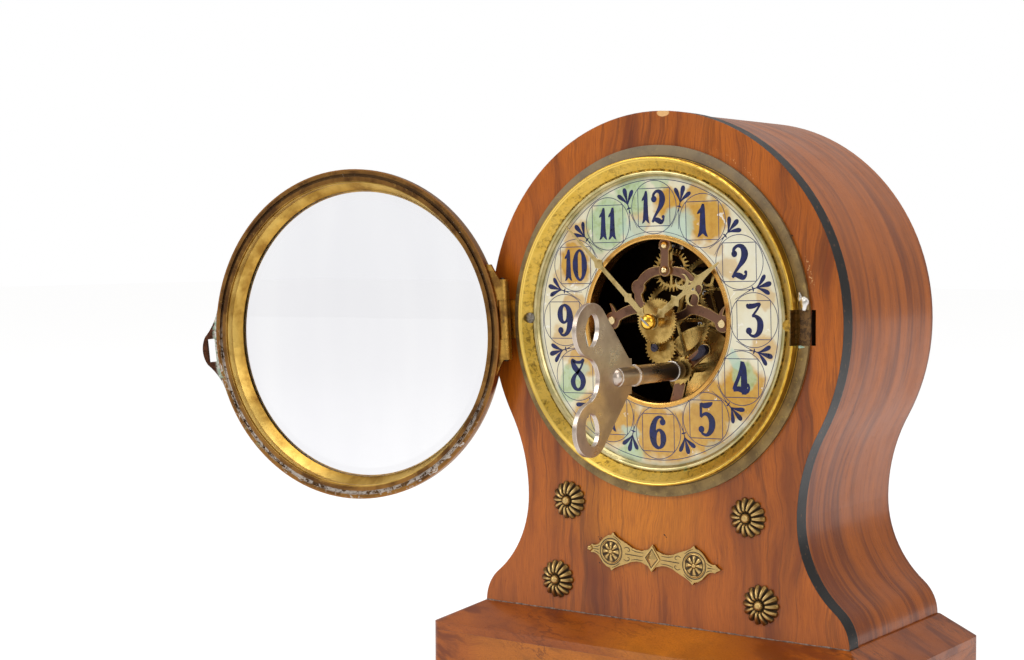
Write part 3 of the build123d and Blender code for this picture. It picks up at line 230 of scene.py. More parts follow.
class Sheet:
    # collects flat and solid outlines about the dial into one mesh
    def __init__(self, turn=0.0, rise=0.0):
        self.points = []
        self.faces = []
        self.turn = radians(turn)
        self.rise = rise

    def put(self, x, y, z):
        across = x * cos(self.turn) - z * sin(self.turn)
        return toRow(across, y, x * sin(self.turn) + z * cos(self.turn) + self.rise)

    def polygon(self, outline, y):
        first = len(self.points)
        self.points += [self.put(x, y, z) for x, z in outline]
        self.faces.append(list(range(first, first + len(outline))))

    def strip(self, left, right, y, closed=False):
        # quads between two lines of (x, z) points
        first = len(self.points)
        count = len(left)
        for a, b in zip(left, right):
            self.points.append(self.put(a[0], y, a[1]))
            self.points.append(self.put(b[0], y, b[1]))
        for index in range(count if closed else count - 1):
            a = first + 2 * index
            b = first + 2 * ((index + 1) % count)
            self.faces.append([a, a + 1, b + 1, b])

    def stroke(self, line, y, closed=False, steps=8):
        # a brush line through (x, z, width) points, its width swelling smoothly between them
        points = smoothLine(line, closed, steps)
        left, right = [], []
        count = len(points)
        for index, (x, z, width) in enumerate(points):
            before = points[index - 1] if index or closed else points[index]
            after = points[(index + 1) % count] if index < count - 1 or closed else points[index]
            run = hypot(after[0] - before[0], after[1] - before[1]) or 1e-6
            side = (-(after[1] - before[1]) / run, (after[0] - before[0]) / run)
            left.append((x + side[0] * width / 2, z + side[1] * width / 2))
            right.append((x - side[0] * width / 2, z - side[1] * width / 2))
        self.strip(left, right, y, closed)

    def ring(self, middle, radius, width, y, steps=72):
        inner = circle(middle, radius - width / 2, steps)
        self.strip(inner, circle(middle, radius + width / 2, steps), y, True)

    def disc(self, middle, radius, y, steps=20):
        self.polygon(circle(middle, radius, steps), y)

    def mesh(self, name, thick=0.0):
        made = meshOf(name, self.points, self.faces)
        solid = bmesh.new()
        solid.from_mesh(made)
        for face in solid.faces:
            if face.normal.y > 0:
                face.normal_flip()
        if thick:
            moved = bmesh.ops.extrude_face_region(solid, geom=solid.faces[:])
            rear = [item for item in moved["geom"] if isinstance(item, bmesh.types.BMVert)]
            bmesh.ops.translate(solid, vec=(0, -thick / 1000, 0), verts=rear)
            bmesh.ops.recalc_face_normals(solid, faces=solid.faces)
        solid.to_mesh(made)
        solid.free()
        return made


def smoothLine(line, closed=False, steps=8):
    # a curve that passes through every given point
    count = len(line)
    out = []
    for index in range(count if closed else count - 1):
        near = [line[(index + step) % count] if closed else line[min(max(index + step, 0), count - 1)]
                for step in (-1, 0, 1, 2)]
        for step in range(steps):
            t = step / steps
            out.append(tuple(0.5 * (2 * b + (c - a) * t + (2 * a - 5 * b + 4 * c - d) * t * t
                                    + (3 * b - a - 3 * c + d) * t ** 3) for a, b, c, d in zip(*near)))
    if not closed:
        out.append(tuple(line[-1]))
    return out


def radialMesh(name, centre, height, rings, steps, reach):
    # a raised form from height(share, angle), its edge at reach(angle), closed at the board
    points = []
    faces = []
    for ring in range(rings + 1):
        share = ring / rings
        for step in range(steps):
            angle = 2 * pi * step / steps
            radius = reach(angle) * share
            points.append(toRow(centre[0] + radius * cos(angle), -height(share, angle),
                                centre[1] + radius * sin(angle)))
    for step in range(steps):
        angle = 2 * pi * step / steps
        radius = reach(angle)
        points.append(toRow(centre[0] + radius * cos(angle), 0, centre[1] + radius * sin(angle)))
    for ring in range(rings + 1):
        for step in range(steps):
            a = ring * steps + step
            b = ring * steps + (step + 1) % steps
            faces.append([a, a + steps, b + steps, b])
    faces.append([(rings + 1) * steps + step for step in range(steps)])
    return cleaned(meshOf(name, points, faces))


walnut = {
    "base": tone(164, 82, 14), "light": tone(194, 106, 18), "honey": tone(214, 130, 22),
    "deep": tone(116, 52, 9), "vein": tone(48, 24, 10), "ebony": tone(24, 20, 17),
    "bare": tone(220, 170, 110), "rough": 0.34, "coat": 0.18,
}


def walnutFinish(name, grain, board=False, honey=None, dark=0.5, skySheen=0.0, dim=0.0, sway=9,
                 pore=(0.16, 0.16, 2.4),
                 slant=0.0):
    w = Finish(name, bevel=0.5)
    warp = w.place.noise(0.016, 3, 0.5) - 0.5
    fine = w.place.noise(0.09, 3, 0.55) - 0.5
    along, acrossDepth, up = grain
    x = w.x + warp * sway * 2 + fine * 1.6
    y = w.y + warp * (0 if board else sway)
    z = w.z + warp * sway + fine * 1.6 + w.x * slant
    figure = joined(x / along, y / acrossDepth, z / up)
    broad = figure.noise(1.0, 5, 0.58, 0.3)
    colour = blend(broad.fade(0.34, 0.66), walnut["deep"], walnut["light"])
    colour = blend(broad.fade(0.42, 0.54) * 0.6, colour, walnut["base"])
    if honey:
        dx, dz = w.x - honey[0], w.z - honey[1]
        spread = ((dx / honey[2]) ** 2 + (dz / honey[3]) ** 2) ** 0.5
        near = 1 - (spread + warp * 1.2).fade(0.3, 1.2)
        colour = blend(near * 0.55, colour, walnut["honey"])
    # long dark mineral streaks, soft at the sides, gathered in patches
    drawn = joined(x / (along * 0.8) + 7.3, y / (acrossDepth * 0.8), z / (up * 1.6) + 2.1)
    streaks = drawn.noise(1.0, 5, 0.58, 0.3)
    patches = w.place.noise(0.014, 2, 0.5).fade(0.4, 0.62)
    if board:
        patches = patches.most(w.x.fade(30, 62) * 0.9).most(w.z.fade(56, 84))
    lines = streaks.band(0.5, 0.004, 0.02)
    broadDark = streaks.fade(0.54, 0.74)
    colour = blend((lines * 0.45).most(broadDark * 0.75) * patches * (dark * 1.7), colour, walnut["vein"])
    # fibres, and open pores as short dark ticks with the grain
    threads = joined(x / (along * 0.03), w.y / (acrossDepth * 0.03), z / (up * 0.06)).noise(1.0, 3, 0.6)
    colour = blend(threads.fade(0.35, 0.75) * 0.5, colour, walnut["deep"])
    ticks = joined(x / pore[0], w.y / pore[1], z / pore[2]).noise(1.0, 1, 0.4)
    where = w.place.noise(0.12, 3, 0.6).fade(0.3, 0.6)
    pitted = ticks.fade(0.67, 0.75) * where
    colour = blend(pitted * 0.8, colour, walnut["vein"])
    if skySheen:
        # painted light: the wood tinted paler towards the top, as if lit from above
        paintedSkyLight = w.z.fade(-40, 90)
        colour = blend(paintedSkyLight * skySheen, colour, tone(184, 128, 96))
    if dim:
        colour = blend(w.place.noise(0.02, 3, 0.5).fade(0.2, 0.7) * dim, colour, walnut["deep"])
    rubbed = w.place.noise(0.9, 4, 0.7).fade(0.7, 0.8)
    colour = blend(rubbed * 0.2, colour, walnut["honey"])
    coat = walnut["coat"]
    if board:
        radius = (w.x ** 2 + w.z ** 2) ** 0.5
        sides = (1 - abs(w.facing.split()[1]).fade(0.35, 0.8)) * radius.fade(64.8, 65.6)
        colour = blend(sides, colour, walnut["ebony"])
        worn = w.place.noise(0.35, 3, 0.6).fade(0.63, 0.68) * sides
        colour = blend(worn * 0.5, colour, tone(112, 78, 54))
        # a bare chip on the dome's crown, and old scratches beside the bezel
        chipped = ((w.x - 3.5) / 3.4) ** 2 + ((w.z - 88.6) / 1.6) ** 2 + (fine * 1.5)
        scratched = w.place.noise(0.7, 4, 0.7, 1.0).fade(0.6, 0.66) * radius.band(77.4, 0.7, 1.4)
        scratched = scratched * w.x.band(38, 10, 6) * w.z.fade(45, 60)
        nick = w.place.noise(0.9, 3, 0.6).fade(0.55, 0.6) * radius.band(77.2, 0.6, 0.6)
        nick = nick * w.z.band(22, 4, 3) * w.x.fade(60, 62)
        bare = (1 - chipped.fade(0.6, 1.0)).most(scratched * 0.7).most(nick * 0.6)
        colour = blend(bare, colour, walnut["bare"])
        coat = (1 - sides * 0.8) * walnut["coat"]
    smear = w.place.noise(0.06, 4, 0.6)
    rough = smear.fade(0.3, 0.8) * 0.14 + (walnut["rough"] - 0.05) + pitted * 0.25
    height = threads * 0.25 - pitted * 0.8 + smear * 0.5
    return w.done(colour, rough, 0.0, height, 0.16, 0.0004, Coat_Weight=coat, Coat_Roughness=0.14,
                  Specular_IOR_Level=0.3)


boardWood = walnutFinish("walnutBoard", (16, 60, 150), board=True, honey=(-14, -84, 44, 30))
shellWood = walnutFinish("walnutShell", (120, 7, 120), skySheen=0.2, dark=0.25, pore=(2.4, 0.2, 2.4))
capWood = walnutFinish("walnutCap", (34, 12, 7), dim=0.55, honey=(16, -137, 40, 12), dark=0.85,
                       pore=(2.4, 0.3, 0.2),
                       slant=0.3)
plinthWood = walnutFinish("walnutPlinth", (26, 30, 6), dim=0.3, honey=(-44, -150, 44, 20), dark=0.9, sway=26,
                          pore=(2.4, 0.2, 0.2), slant=0.25)
dress(boardWood, "front_board")
dress(shellWood, "case_shell")
dress(capWood, "plinth_cap")
dress(plinthWood, "plinth_frame")


def plainWood():
    w = Finish("pineBoards", bevel=0.5)
    grain = joined(w.x / 9 + (w.place.noise(0.03, 2) * 2), w.y / 40, w.z / 90).noise(1.0, 5, 0.6, 0.8)
    colour = blend(grain.fade(0.3, 0.7), tone(96, 62, 36), tone(150, 106, 66))
    dust = w.place.noise(0.07, 5, 0.65).fade(0.5, 0.75)
    colour = blend(dust * 0.4, colour, tone(70, 46, 30))
    threads = joined(w.x / 0.5, w.y / 3, w.z / 8).noise(1.0, 3, 0.6)
    return w.done(colour, threads * 0.2 + 0.6, 0.0, threads, 0.3, 0.0004)


dress(plainWood(), "back_board", "base_board")
print("walnut and pine done")


def metalFinish(name, clean, stain, grime, rough=0.3, stained=0.5, grimy=0.3, brushed=None, bevel=0.18,
                sides=None, speck=0.5, metal=1.0, scale=1.0, rubbed=None):
    w = Finish(name, bevel=bevel)
    cloud = w.place.noise(0.09 * scale, 5, 0.62)
    spots = w.place.noise(0.42 * scale, 4, 0.65, 0.5)
    colour = blend(cloud.fade(0.62 - stained * 0.3, 0.78 - stained * 0.2), clean, stain)
    if sides:
        rim = 1 - abs(w.facing.split()[1]).fade(0.4, 0.85)
        colour = blend(rim * 0.9, colour, sides)
    dirt = spots.fade(0.7 - grimy * 0.25, 0.82 - grimy * 0.15)
    colour = blend(dirt * 0.75, colour, grime)
    if rubbed:
        # painted highlight with wear: the sharp edges coloured bright, as where light catches them and
        # handling rubs them
        colour = blend(w.edges(bevel) * 0.85, colour, rubbed)
    pits = w.place.noise(2.4 * scale, 2, 0.5).fade(0.7, 0.76) * speck
    colour = blend(pits, colour, grime)
    lines = (w.stretched(*brushed) if brushed else w.stretched(0.35, 0.35, 3.0)).noise(1.0, 3, 0.6)
    roughness = cloud.fade(0.3, 0.8) * 0.18 + dirt * 0.3 + lines * 0.1 + (rough - 0.1)
    height = lines * 0.35 - pits * 0.8 + spots * 0.35
    metallic = metal - dirt * 0.45 * metal
    return w.done(colour, roughness, metallic, height, 0.12, 0.0002)


def bezelFinish():
    # zones by radius: cream bead, dull slope, ridge with a painted highlight line, grey-olive flange
    w = Finish("gildedBezel", bevel=0.25)
    radius = (w.x ** 2 + w.z ** 2) ** 0.5
    cloud = w.place.noise(0.1, 5, 0.62)
    spots = w.place.noise(0.5, 5, 0.68, 0.8)
    gold = blend(cloud.fade(0.35, 0.7), tone(226, 182, 74), tone(190, 142, 44))
    slope = blend(spots.fade(0.46, 0.66), tone(206, 166, 66), tone(132, 104, 44))
    slope = blend(cloud.fade(0.3, 0.62) * 0.55, slope, tone(226, 190, 96))
    # painted highlight: a pale gold line round the crest of the ridge
    ridgeHighlight = tone(240, 204, 104)
    flange = blend(cloud.fade(0.36, 0.66), tone(146, 122, 78), tone(112, 92, 60))
    flange = blend(spots.fade(0.56, 0.68) * 0.5, flange, tone(184, 158, 84))
    flange = blend(w.z.fade(20, 70) * 0.6, flange, tone(132, 120, 104))
    bead = blend(cloud.fade(0.35, 0.65), tone(206, 190, 140), tone(170, 160, 110))
    colour = blend(radius.fade(64.0, 64.5), bead, slope)
    colour = blend(radius.fade(68.1, 68.5), colour, ridgeHighlight)
    colour = blend(radius.fade(69.2, 69.6), colour, gold)
    outer = radius.fade(70.0, 70.15) * (1 - (-1 * w.y).fade(1.6, 1.9))
    colour = blend(outer, colour, flange)
    # painted shade: a dark line in the corner where the ridge's outer wall meets the flange
    footShade = radius.band(70.2, 0.25, 0.35) * outer
    colour = blend(footShade * 0.8, colour, tone(52, 42, 22))
    inner = radius.band(64.4, 0.15, 0.35) * spots.fade(0.35, 0.6)
    colour = blend(inner * 0.85, colour, tone(60, 46, 20))
    angle = w.z.sum("ARCTAN2", w.z, w.x)
    worn = w.place.noise(0.05, 3, 0.6).fade(0.5, 0.62) * radius.fade(64.5, 66)
    specks = w.place.noise(1.6, 4, 0.6).fade(0.64, 0.7) * worn
    colour = blend(specks * 0.8, colour, tone(74, 50, 22))
    notch = w.z.band(-0.75, 7.15, 0.25) * w.x.fade(67.2, 67.8)
    colour = blend(notch * 0.9, colour, blend(spots.fade(0.4, 0.6), tone(120, 86, 48), tone(62, 42, 26)))
    green = w.place.noise(0.3, 4, 0.6).fade(0.6, 0.7) * angle.band(-1.35, 0.1, 0.3)
    green = green * radius.band(64.3, 0.5, 0.7)
    colour = blend(green * 0.8, colour, tone(112, 150, 110))
    rough = cloud * 0.16 + specks * 0.3 + outer * 0.2 + 0.2
    lines = joined(radius / 0.25, angle * 3, 0.0).noise(1.0, 2, 0.5)
    height = lines * 0.3 + spots * 0.5 - specks * 0.6
    metallic = 1 - specks * 0.5 - outer * 0.35
    return w.done(colour, rough + lines * 0.06, metallic, height, 0.14, 0.0002)


dress(bezelFinish(), "bezel_ring")

# the door's own places: turned back shut about its leaning hinge
hingeAt = Vector((-77.6, -5.8, -1.0))
lean = radians(3.4)
shut = Matrix.Rotation(radians(169.5), 3, Vector((-sin(lean), 0, cos(lean))))


def doorPlaces(w):
    moved = hingeAt - shut @ hingeAt
    return [w.place.dot(tuple(shut[row])) + moved[row] for row in range(3)]


def doorFinish():
    w = Finish("doorBrass", bevel=0.2)
    x, y, z = doorPlaces(w)
    radius = (x ** 2 + z ** 2) ** 0.5
    angle = x.sum("ARCTAN2", z, x)
    cloud = w.place.noise(0.08, 5, 0.62)
    spots = w.place.noise(0.45, 5, 0.68, 0.8)
    bronze = blend(cloud.fade(0.4, 0.66), tone(146, 104, 54), tone(92, 62, 36))
    bronze = blend(spots.fade(0.56, 0.72) * 0.5, bronze, tone(186, 146, 80))
    gold = blend(cloud.fade(0.38, 0.7), tone(218, 182, 98), tone(170, 130, 56))
    gold = blend(spots.fade(0.62, 0.72) * 0.6, gold, tone(120, 78, 32))
    front = 1 - y.fade(-11.5, -6.0)  # the moulded face that is outside when the door is shut
    colour = blend(radius.fade(70.6, 71.2), gold, bronze)
    edge = radius.band(76.3, 0.35, 0.3)
    colour = blend(edge * 0.8, colour, tone(160, 110, 62))
    colour = blend(front, colour, blend(cloud.fade(0.4, 0.7), tone(206, 160, 70), tone(140, 96, 40)))
    # filler left in the groove and along the lower rim on the free side
    low = angle.band(-1.25, 1.05, 0.5)
    crumbs = w.place.noise(0.28, 5, 0.72, 1.2)
    groove = radius.band(73.7, 0.55, 0.5)
    filler = crumbs.fade(0.44, 0.52) * low * groove
    smear = crumbs.fade(0.57, 0.65) * low * radius.band(74.8, 1.1, 0.8)
    bits = w.place.noise(0.7, 4, 0.7).fade(0.66, 0.7) * groove
    plaster = filler.most(smear).most(bits * 0.8) * (1 - front)
    # painted shade: the groove darkened all round where no filler lies
    colour = blend(groove * (1 - plaster) * 0.75 * (1 - front), colour, tone(66, 50, 36))
    colour = blend(plaster, colour, tone(196, 186, 176))
    green = w.place.noise(0.2, 4, 0.6).fade(0.56, 0.66) * angle.band(-0.35, 0.2, 0.25)
    green = green * radius.fade(73.5, 75)
    colour = blend(green * 0.75, colour, tone(130, 168, 138))
    metallic = 1 - plaster * 0.95 - green * 0.6
    rough = cloud * 0.2 + plaster * 0.45 + 0.22
    height = spots * 0.4 + plaster * 1.4 + crumbs * 0.3
    return w.done(colour, rough, metallic, height, 0.22, 0.0003)


doorBrass = doorFinish()
dress(doorBrass, "door_ring", "glass_retainer")

hingeBrass = metalFinish("hingeBrass", tone(206, 160, 78), tone(128, 90, 44), tone(60, 40, 24), 0.3, 0.6, 0.5)


def tabFinish():
    w = Finish("tabBronze", bevel=0.2)
    x, y, z = doorPlaces(w)
    radius = (x ** 2 + z ** 2) ** 0.5
    spots = w.place.noise(0.5, 4, 0.65, 0.5)
    colour = blend(spots.fade(0.35, 0.7), tone(96, 60, 42), tone(58, 36, 26))
    residue = (1 - radius.fade(77.6, 79.2)) * w.place.noise(0.45, 4, 0.7).fade(0.34, 0.5)
    crusted = blend(spots.fade(0.4, 0.6), tone(204, 196, 188), tone(136, 160, 136))
    colour = blend(residue * 0.9, colour, crusted)
    return w.done(colour, residue * 0.4 + 0.34, 1 - residue * 0.9, spots + residue * 0.8, 0.2, 0.0003)


tabBronze = tabFinish()
handBrass = metalFinish("handBrass", tone(206, 180, 122), tone(142, 116, 62), tone(84, 62, 30), 0.3, 0.55,
                        0.35,
                        brushed=(0.3, 0.3, 0.3), bevel=0.22, rubbed=tone(236, 214, 150))
wheelBrass = metalFinish("wheelBrass", tone(214, 178, 104), tone(140, 106, 50), tone(52, 36, 18), 0.26,
                         0.55, 0.4,
                         bevel=0.14, rubbed=tone(240, 206, 128))
plateBronze = metalFinish("plateBronze", tone(126, 92, 74), tone(92, 66, 52), tone(44, 30, 24), 0.34, 0.5,
                          0.45,
                          sides=tone(222, 186, 118), bevel=0.5, rubbed=tone(232, 196, 124))
ringCopper = metalFinish("ringCopper", tone(222, 168, 88), tone(168, 108, 52), tone(96, 60, 28), 0.24, 0.3,
                         0.12,
                         bevel=0.25, rubbed=tone(240, 204, 130))
nutGold = metalFinish("nutGold", tone(250, 200, 80), tone(206, 142, 34), tone(84, 54, 16), 0.14, 0.35, 0.2,
                      bevel=0.25)
ballGold = metalFinish("ballGold", tone(240, 214, 160), tone(170, 132, 74), tone(84, 60, 34), 0.18, 0.3,
                       0.2, bevel=0.5)
backBrass = metalFinish("backBrass", tone(150, 118, 62), tone(104, 78, 42), tone(50, 38, 24), 0.36, 0.6, 0.5)
# painted shade: the drum, dial pan and back plate coloured near black for the dark inside the case, with
# stains over it
drumShadeDark = metalFinish("drumShadeDark", tone(58, 40, 24), tone(34, 24, 16), tone(16, 12, 10), 0.45, 0.6, 0.5,
                        bevel=0)
arborSteel = metalFinish("arborSteel", tone(176, 174, 172), tone(110, 104, 98), tone(50, 44, 40), 0.22,
                         0.4, 0.3, bevel=0.1)
pinSteel = metalFinish("pinSteel", tone(84, 70, 62), tone(52, 42, 38), tone(28, 22, 20), 0.36, 0.6, 0.4)
blueSteel = metalFinish("blueSteel", tone(66, 62, 72), tone(40, 38, 46), tone(22, 20, 22), 0.26, 0.5, 0.4,
                        bevel=0.12)


def screwFinish():
    w = Finish("bezelScrew", bevel=0.15)
    spots = w.place.noise(0.9, 4, 0.65)
    grey = blend(spots.fade(0.35, 0.7), tone(150, 144, 134), tone(96, 88, 78))
    colour = blend(w.x.fade(-1, 1), grey, blend(spots.fade(0.35, 0.7), tone(196, 154, 62), tone(128, 98, 40)))
    return w.done(colour, spots * 0.2 + 0.36, 0.8, spots, 0.15, 0.0002)


screwGrey = screwFinish()

dress(hingeBrass, "door_hinge_leaf", "case_hinge_leaf")
dress(tabBronze, "thumb_tab")
dress(handBrass, "minute_hand", "hour_hand")
dress(wheelBrass, "cannon_pinion", "minute_wheel", "hour_wheel", "centre_wheel", "third_wheel",
      "escape_wheel",
      "mainspring_barrel", "barrel_cap", "ratchet_wheel", "pendulum_bob")
dress(plateBronze, "front_plate", "escape_cock")
dress(ringCopper, "centre_ring")
dress(nutGold, "hand_nut")
dress(ballGold, "pivot_caps", "plate_pillars")
dress(backBrass, "back_door", "back_knob", "back_hinge_leaf", "suspension_cock")
dress(drumShadeDark, "movement_drum", "dial_pan", "back_plate")
dress(arborSteel, "centre_arbor", "third_arbor", "escape_arbor", "winding_arbor", "pallet_arbor",
      "pallet_anchor",
      "crutch", "pendulum_rod")
dress(pinSteel, "hinge_pin")
dress(blueSteel, "minute_wheel_stud", "click", "click_screw", "mainspring")
dress(screwGrey, "bezel_screws")


def keyFinish():
    w = Finish("keySteel", bevel=0.35)
    cloud = w.place.noise(0.05, 4, 0.6)
    spots = w.place.noise(0.5, 4, 0.65, 0.5)
    colour = blend(cloud.fade(0.35, 0.68), tone(212, 198, 184), tone(172, 156, 142))
    top = w.z.fade(1.0, 12.0)
    dome = (-1 * w.y).fade(39.0, 42.0) * (1 - abs(w.z + 21.02).fade(3.5, 5.5))
    rust = top.most(dome * 0.35) * spots.fade(0.35, 0.7)
    colour = blend(rust * 0.5, colour, tone(150, 92, 62))
    tail = w.y.fade(-24, -6)
    colour = blend(tail * 0.6, colour, tone(70, 58, 50))
    ring = w.y.band(-29.0, 0.9, 0.2)
    colour = blend(ring * 0.8, colour, tone(226, 204, 176))
    # painted highlight with wear: the key's sharp edges coloured near white
    colour = blend(w.edges(0.35) * 0.8, colour, tone(240, 232, 222))
    pits = w.place.noise(1.8, 4, 0.6).fade(0.64, 0.72)
    colour = blend(pits * 0.45, colour, tone(84, 66, 54))
    brushed = w.stretched(3.0, 3.0, 0.3).noise(1.0, 3, 0.6)
    rough = cloud.fade(0.3, 0.7) * 0.14 + pits * 0.2 + brushed * 0.1 + 0.2
    height = brushed * 0.3 - pits * 0.8 + spots * 0.3
    return w.done(colour, rough, 1.0 - rust * 0.4, height, 0.12, 0.0002)


dress(keyFinish(), "key_barrel", "key_bow")
print("metals done")


def glassFinish():
    w = Finish("bevelledGlass")
    smear = w.place.noise(0.04, 5, 0.6)
    dust = w.place.noise(0.35, 5, 0.72).fade(0.7, 0.76)
    wiped = joined(w.x / 30, w.y / 30, w.z / 160).noise(1.0, 3, 0.5)
    shader = w.shader
    shader.inputs["IOR"].default_value = 1.45
    shader.inputs["Transmission Weight"].default_value = 1.0
    colour = blend(wiped.fade(0.3, 0.7), tone(240, 240, 243), tone(245, 245, 247))
    colour = blend(dust * 0.5, colour, tone(226, 226, 220))
    rough = smear.fade(0.45, 0.8) * 0.02 + dust * 0.1 + 0.005
    return w.done(colour, rough, 0.0, smear, 0.02, 0.0002)


dress(glassFinish(), "door_glass")


def hourPlace(hour, radius=48.2):
    return (radius * sin(radians(30 * hour)), radius * cos(radians(30 * hour)))


dialPaint = {
    "ivory": tone(224, 220, 198), "cream": tone(218, 206, 168), "ochre": tone(198, 150, 48),
    "deepOchre": tone(184, 130, 28), "green": tone(168, 192, 150), "deepGreen": tone(134, 162, 96),
    "sea": tone(172, 200, 184),
    # hour, distance from the centre, size and strength of each wash
    "ochreWashes": ((0.28, 50, 10, 1.0), (1.0, 50, 12, 1.0), (0.7, 57, 8, 0.9), (1.4, 42, 6, 0.5),
                    (1.9, 43, 7, 0.5),
                    (2.6, 54, 5, 0.5), (3.3, 54, 8, 0.7), (4.1, 50, 14, 1.0), (4.6, 46, 13, 1.0),
                    (5.0, 50, 16, 1.0),
                    (5.6, 50, 15, 1.0), (6.0, 48, 15, 1.0), (6.8, 48, 15, 1.0), (7.3, 54, 12, 0.9),
                    (8.1, 43, 9, 0.9),
                    (8.6, 50, 9, 0.6), (9.2, 42, 8, 0.7), (9.6, 55, 6, 0.5), (10.0, 49, 11, 1.0),
                    (10.4, 56, 8, 0.7),
                    (11.6, 44, 7, 0.5)),
    "greenWashes": ((11.0, 49, 13, 1.0), (11.6, 55, 11, 1.0), (0.05, 61, 6, 0.7), (7.9, 53, 9, 0.9),
                    (3.85, 47, 7, 0.9),
                    (6.45, 59, 8, 0.9), (10.6, 46, 7, 0.7), (7.1, 58, 6, 0.5)),
    "seaWashes": ((0.5, 42, 9, 0.9), (11.4, 41, 8, 0.8), (3.7, 42, 5, 0.9), (6.5, 53, 6, 0.9),
                  (8.0, 46, 6, 0.8),
                  (5.0, 61, 5, 0.4)),
}


def dialFinish():
    w = Finish("dialPaint", bevel=0.1)
    drift = w.place.noise(0.05, 5, 0.6)
    edge = w.place.noise(0.1, 3, 0.55)
    colour = blend(drift.fade(0.35, 0.7), dialPaint["ivory"], dialPaint["cream"])

    def washes(spots):
        most = None
        for hour, radius, size, strength in spots:
            at = hourPlace(hour, radius)
            far = ((w.x - at[0]) ** 2 + (w.z - at[1]) ** 2) ** 0.5 + (edge - 0.5) * 14
            wash = (1 - far.fade(size * 0.62, size)) * strength
            most = wash if most is None else most.most(wash)
        return most

    mottle = w.place.noise(0.3, 4, 0.6)
    ochre = washes(dialPaint["ochreWashes"])
    colour = blend(ochre * 0.95, colour, blend(mottle.fade(0.35, 0.75), dialPaint["ochre"],
                                               dialPaint["deepOchre"]))
    green = washes(dialPaint["greenWashes"])
    colour = blend(green * 0.85, colour, blend(mottle.fade(0.45, 0.75), dialPaint["green"],
                                               dialPaint["deepGreen"]))
    colour = blend(washes(dialPaint["seaWashes"]) * 0.8, colour, dialPaint["sea"])
    lost = w.place.noise(0.13, 5, 0.68, 0.6).fade(0.64, 0.66)  # bare white patches in the washes
    colour = blend(lost * 0.8, colour, tone(232, 226, 212))
    radius = (w.x ** 2 + w.z ** 2) ** 0.5
    rim = radius.fade(59.8, 62.0)
    dirty = blend(edge.fade(0.4, 0.6), tone(204, 196, 164), tone(146, 144, 112))
    colour = blend(rim * 0.8, colour, dirty)
    specks = w.place.noise(2.2, 3, 0.6).fade(0.71, 0.75)
    colour = blend(specks * 0.5, colour, tone(120, 96, 60))
    rough = drift * 0.12 + rim * 0.2 + 0.14
    return w.done(colour, rough, 0.0, edge * 0.6 + mottle * 0.3, 0.08, 0.0002, Coat_Weight=0.3,
                  Coat_Roughness=0.08, Specular_IOR_Level=0.45)


dress(dialFinish(), "dial_plate")


def inkFinish(name, dark, skySheen):
    w = Finish(name)
    pool = w.place.noise(0.35, 4, 0.6)
    colour = blend(pool.fade(0.35, 0.75), dark, skySheen)
    return w.done(colour, pool * 0.2 + 0.2, 0.0, pool, 0.1, 0.0001)


numeralBlue = inkFinish("numeralBlue", tone(3, 11, 58), tone(8, 24, 92))
lineBlue = inkFinish("lineBlue", tone(34, 42, 84), tone(66, 70, 104))

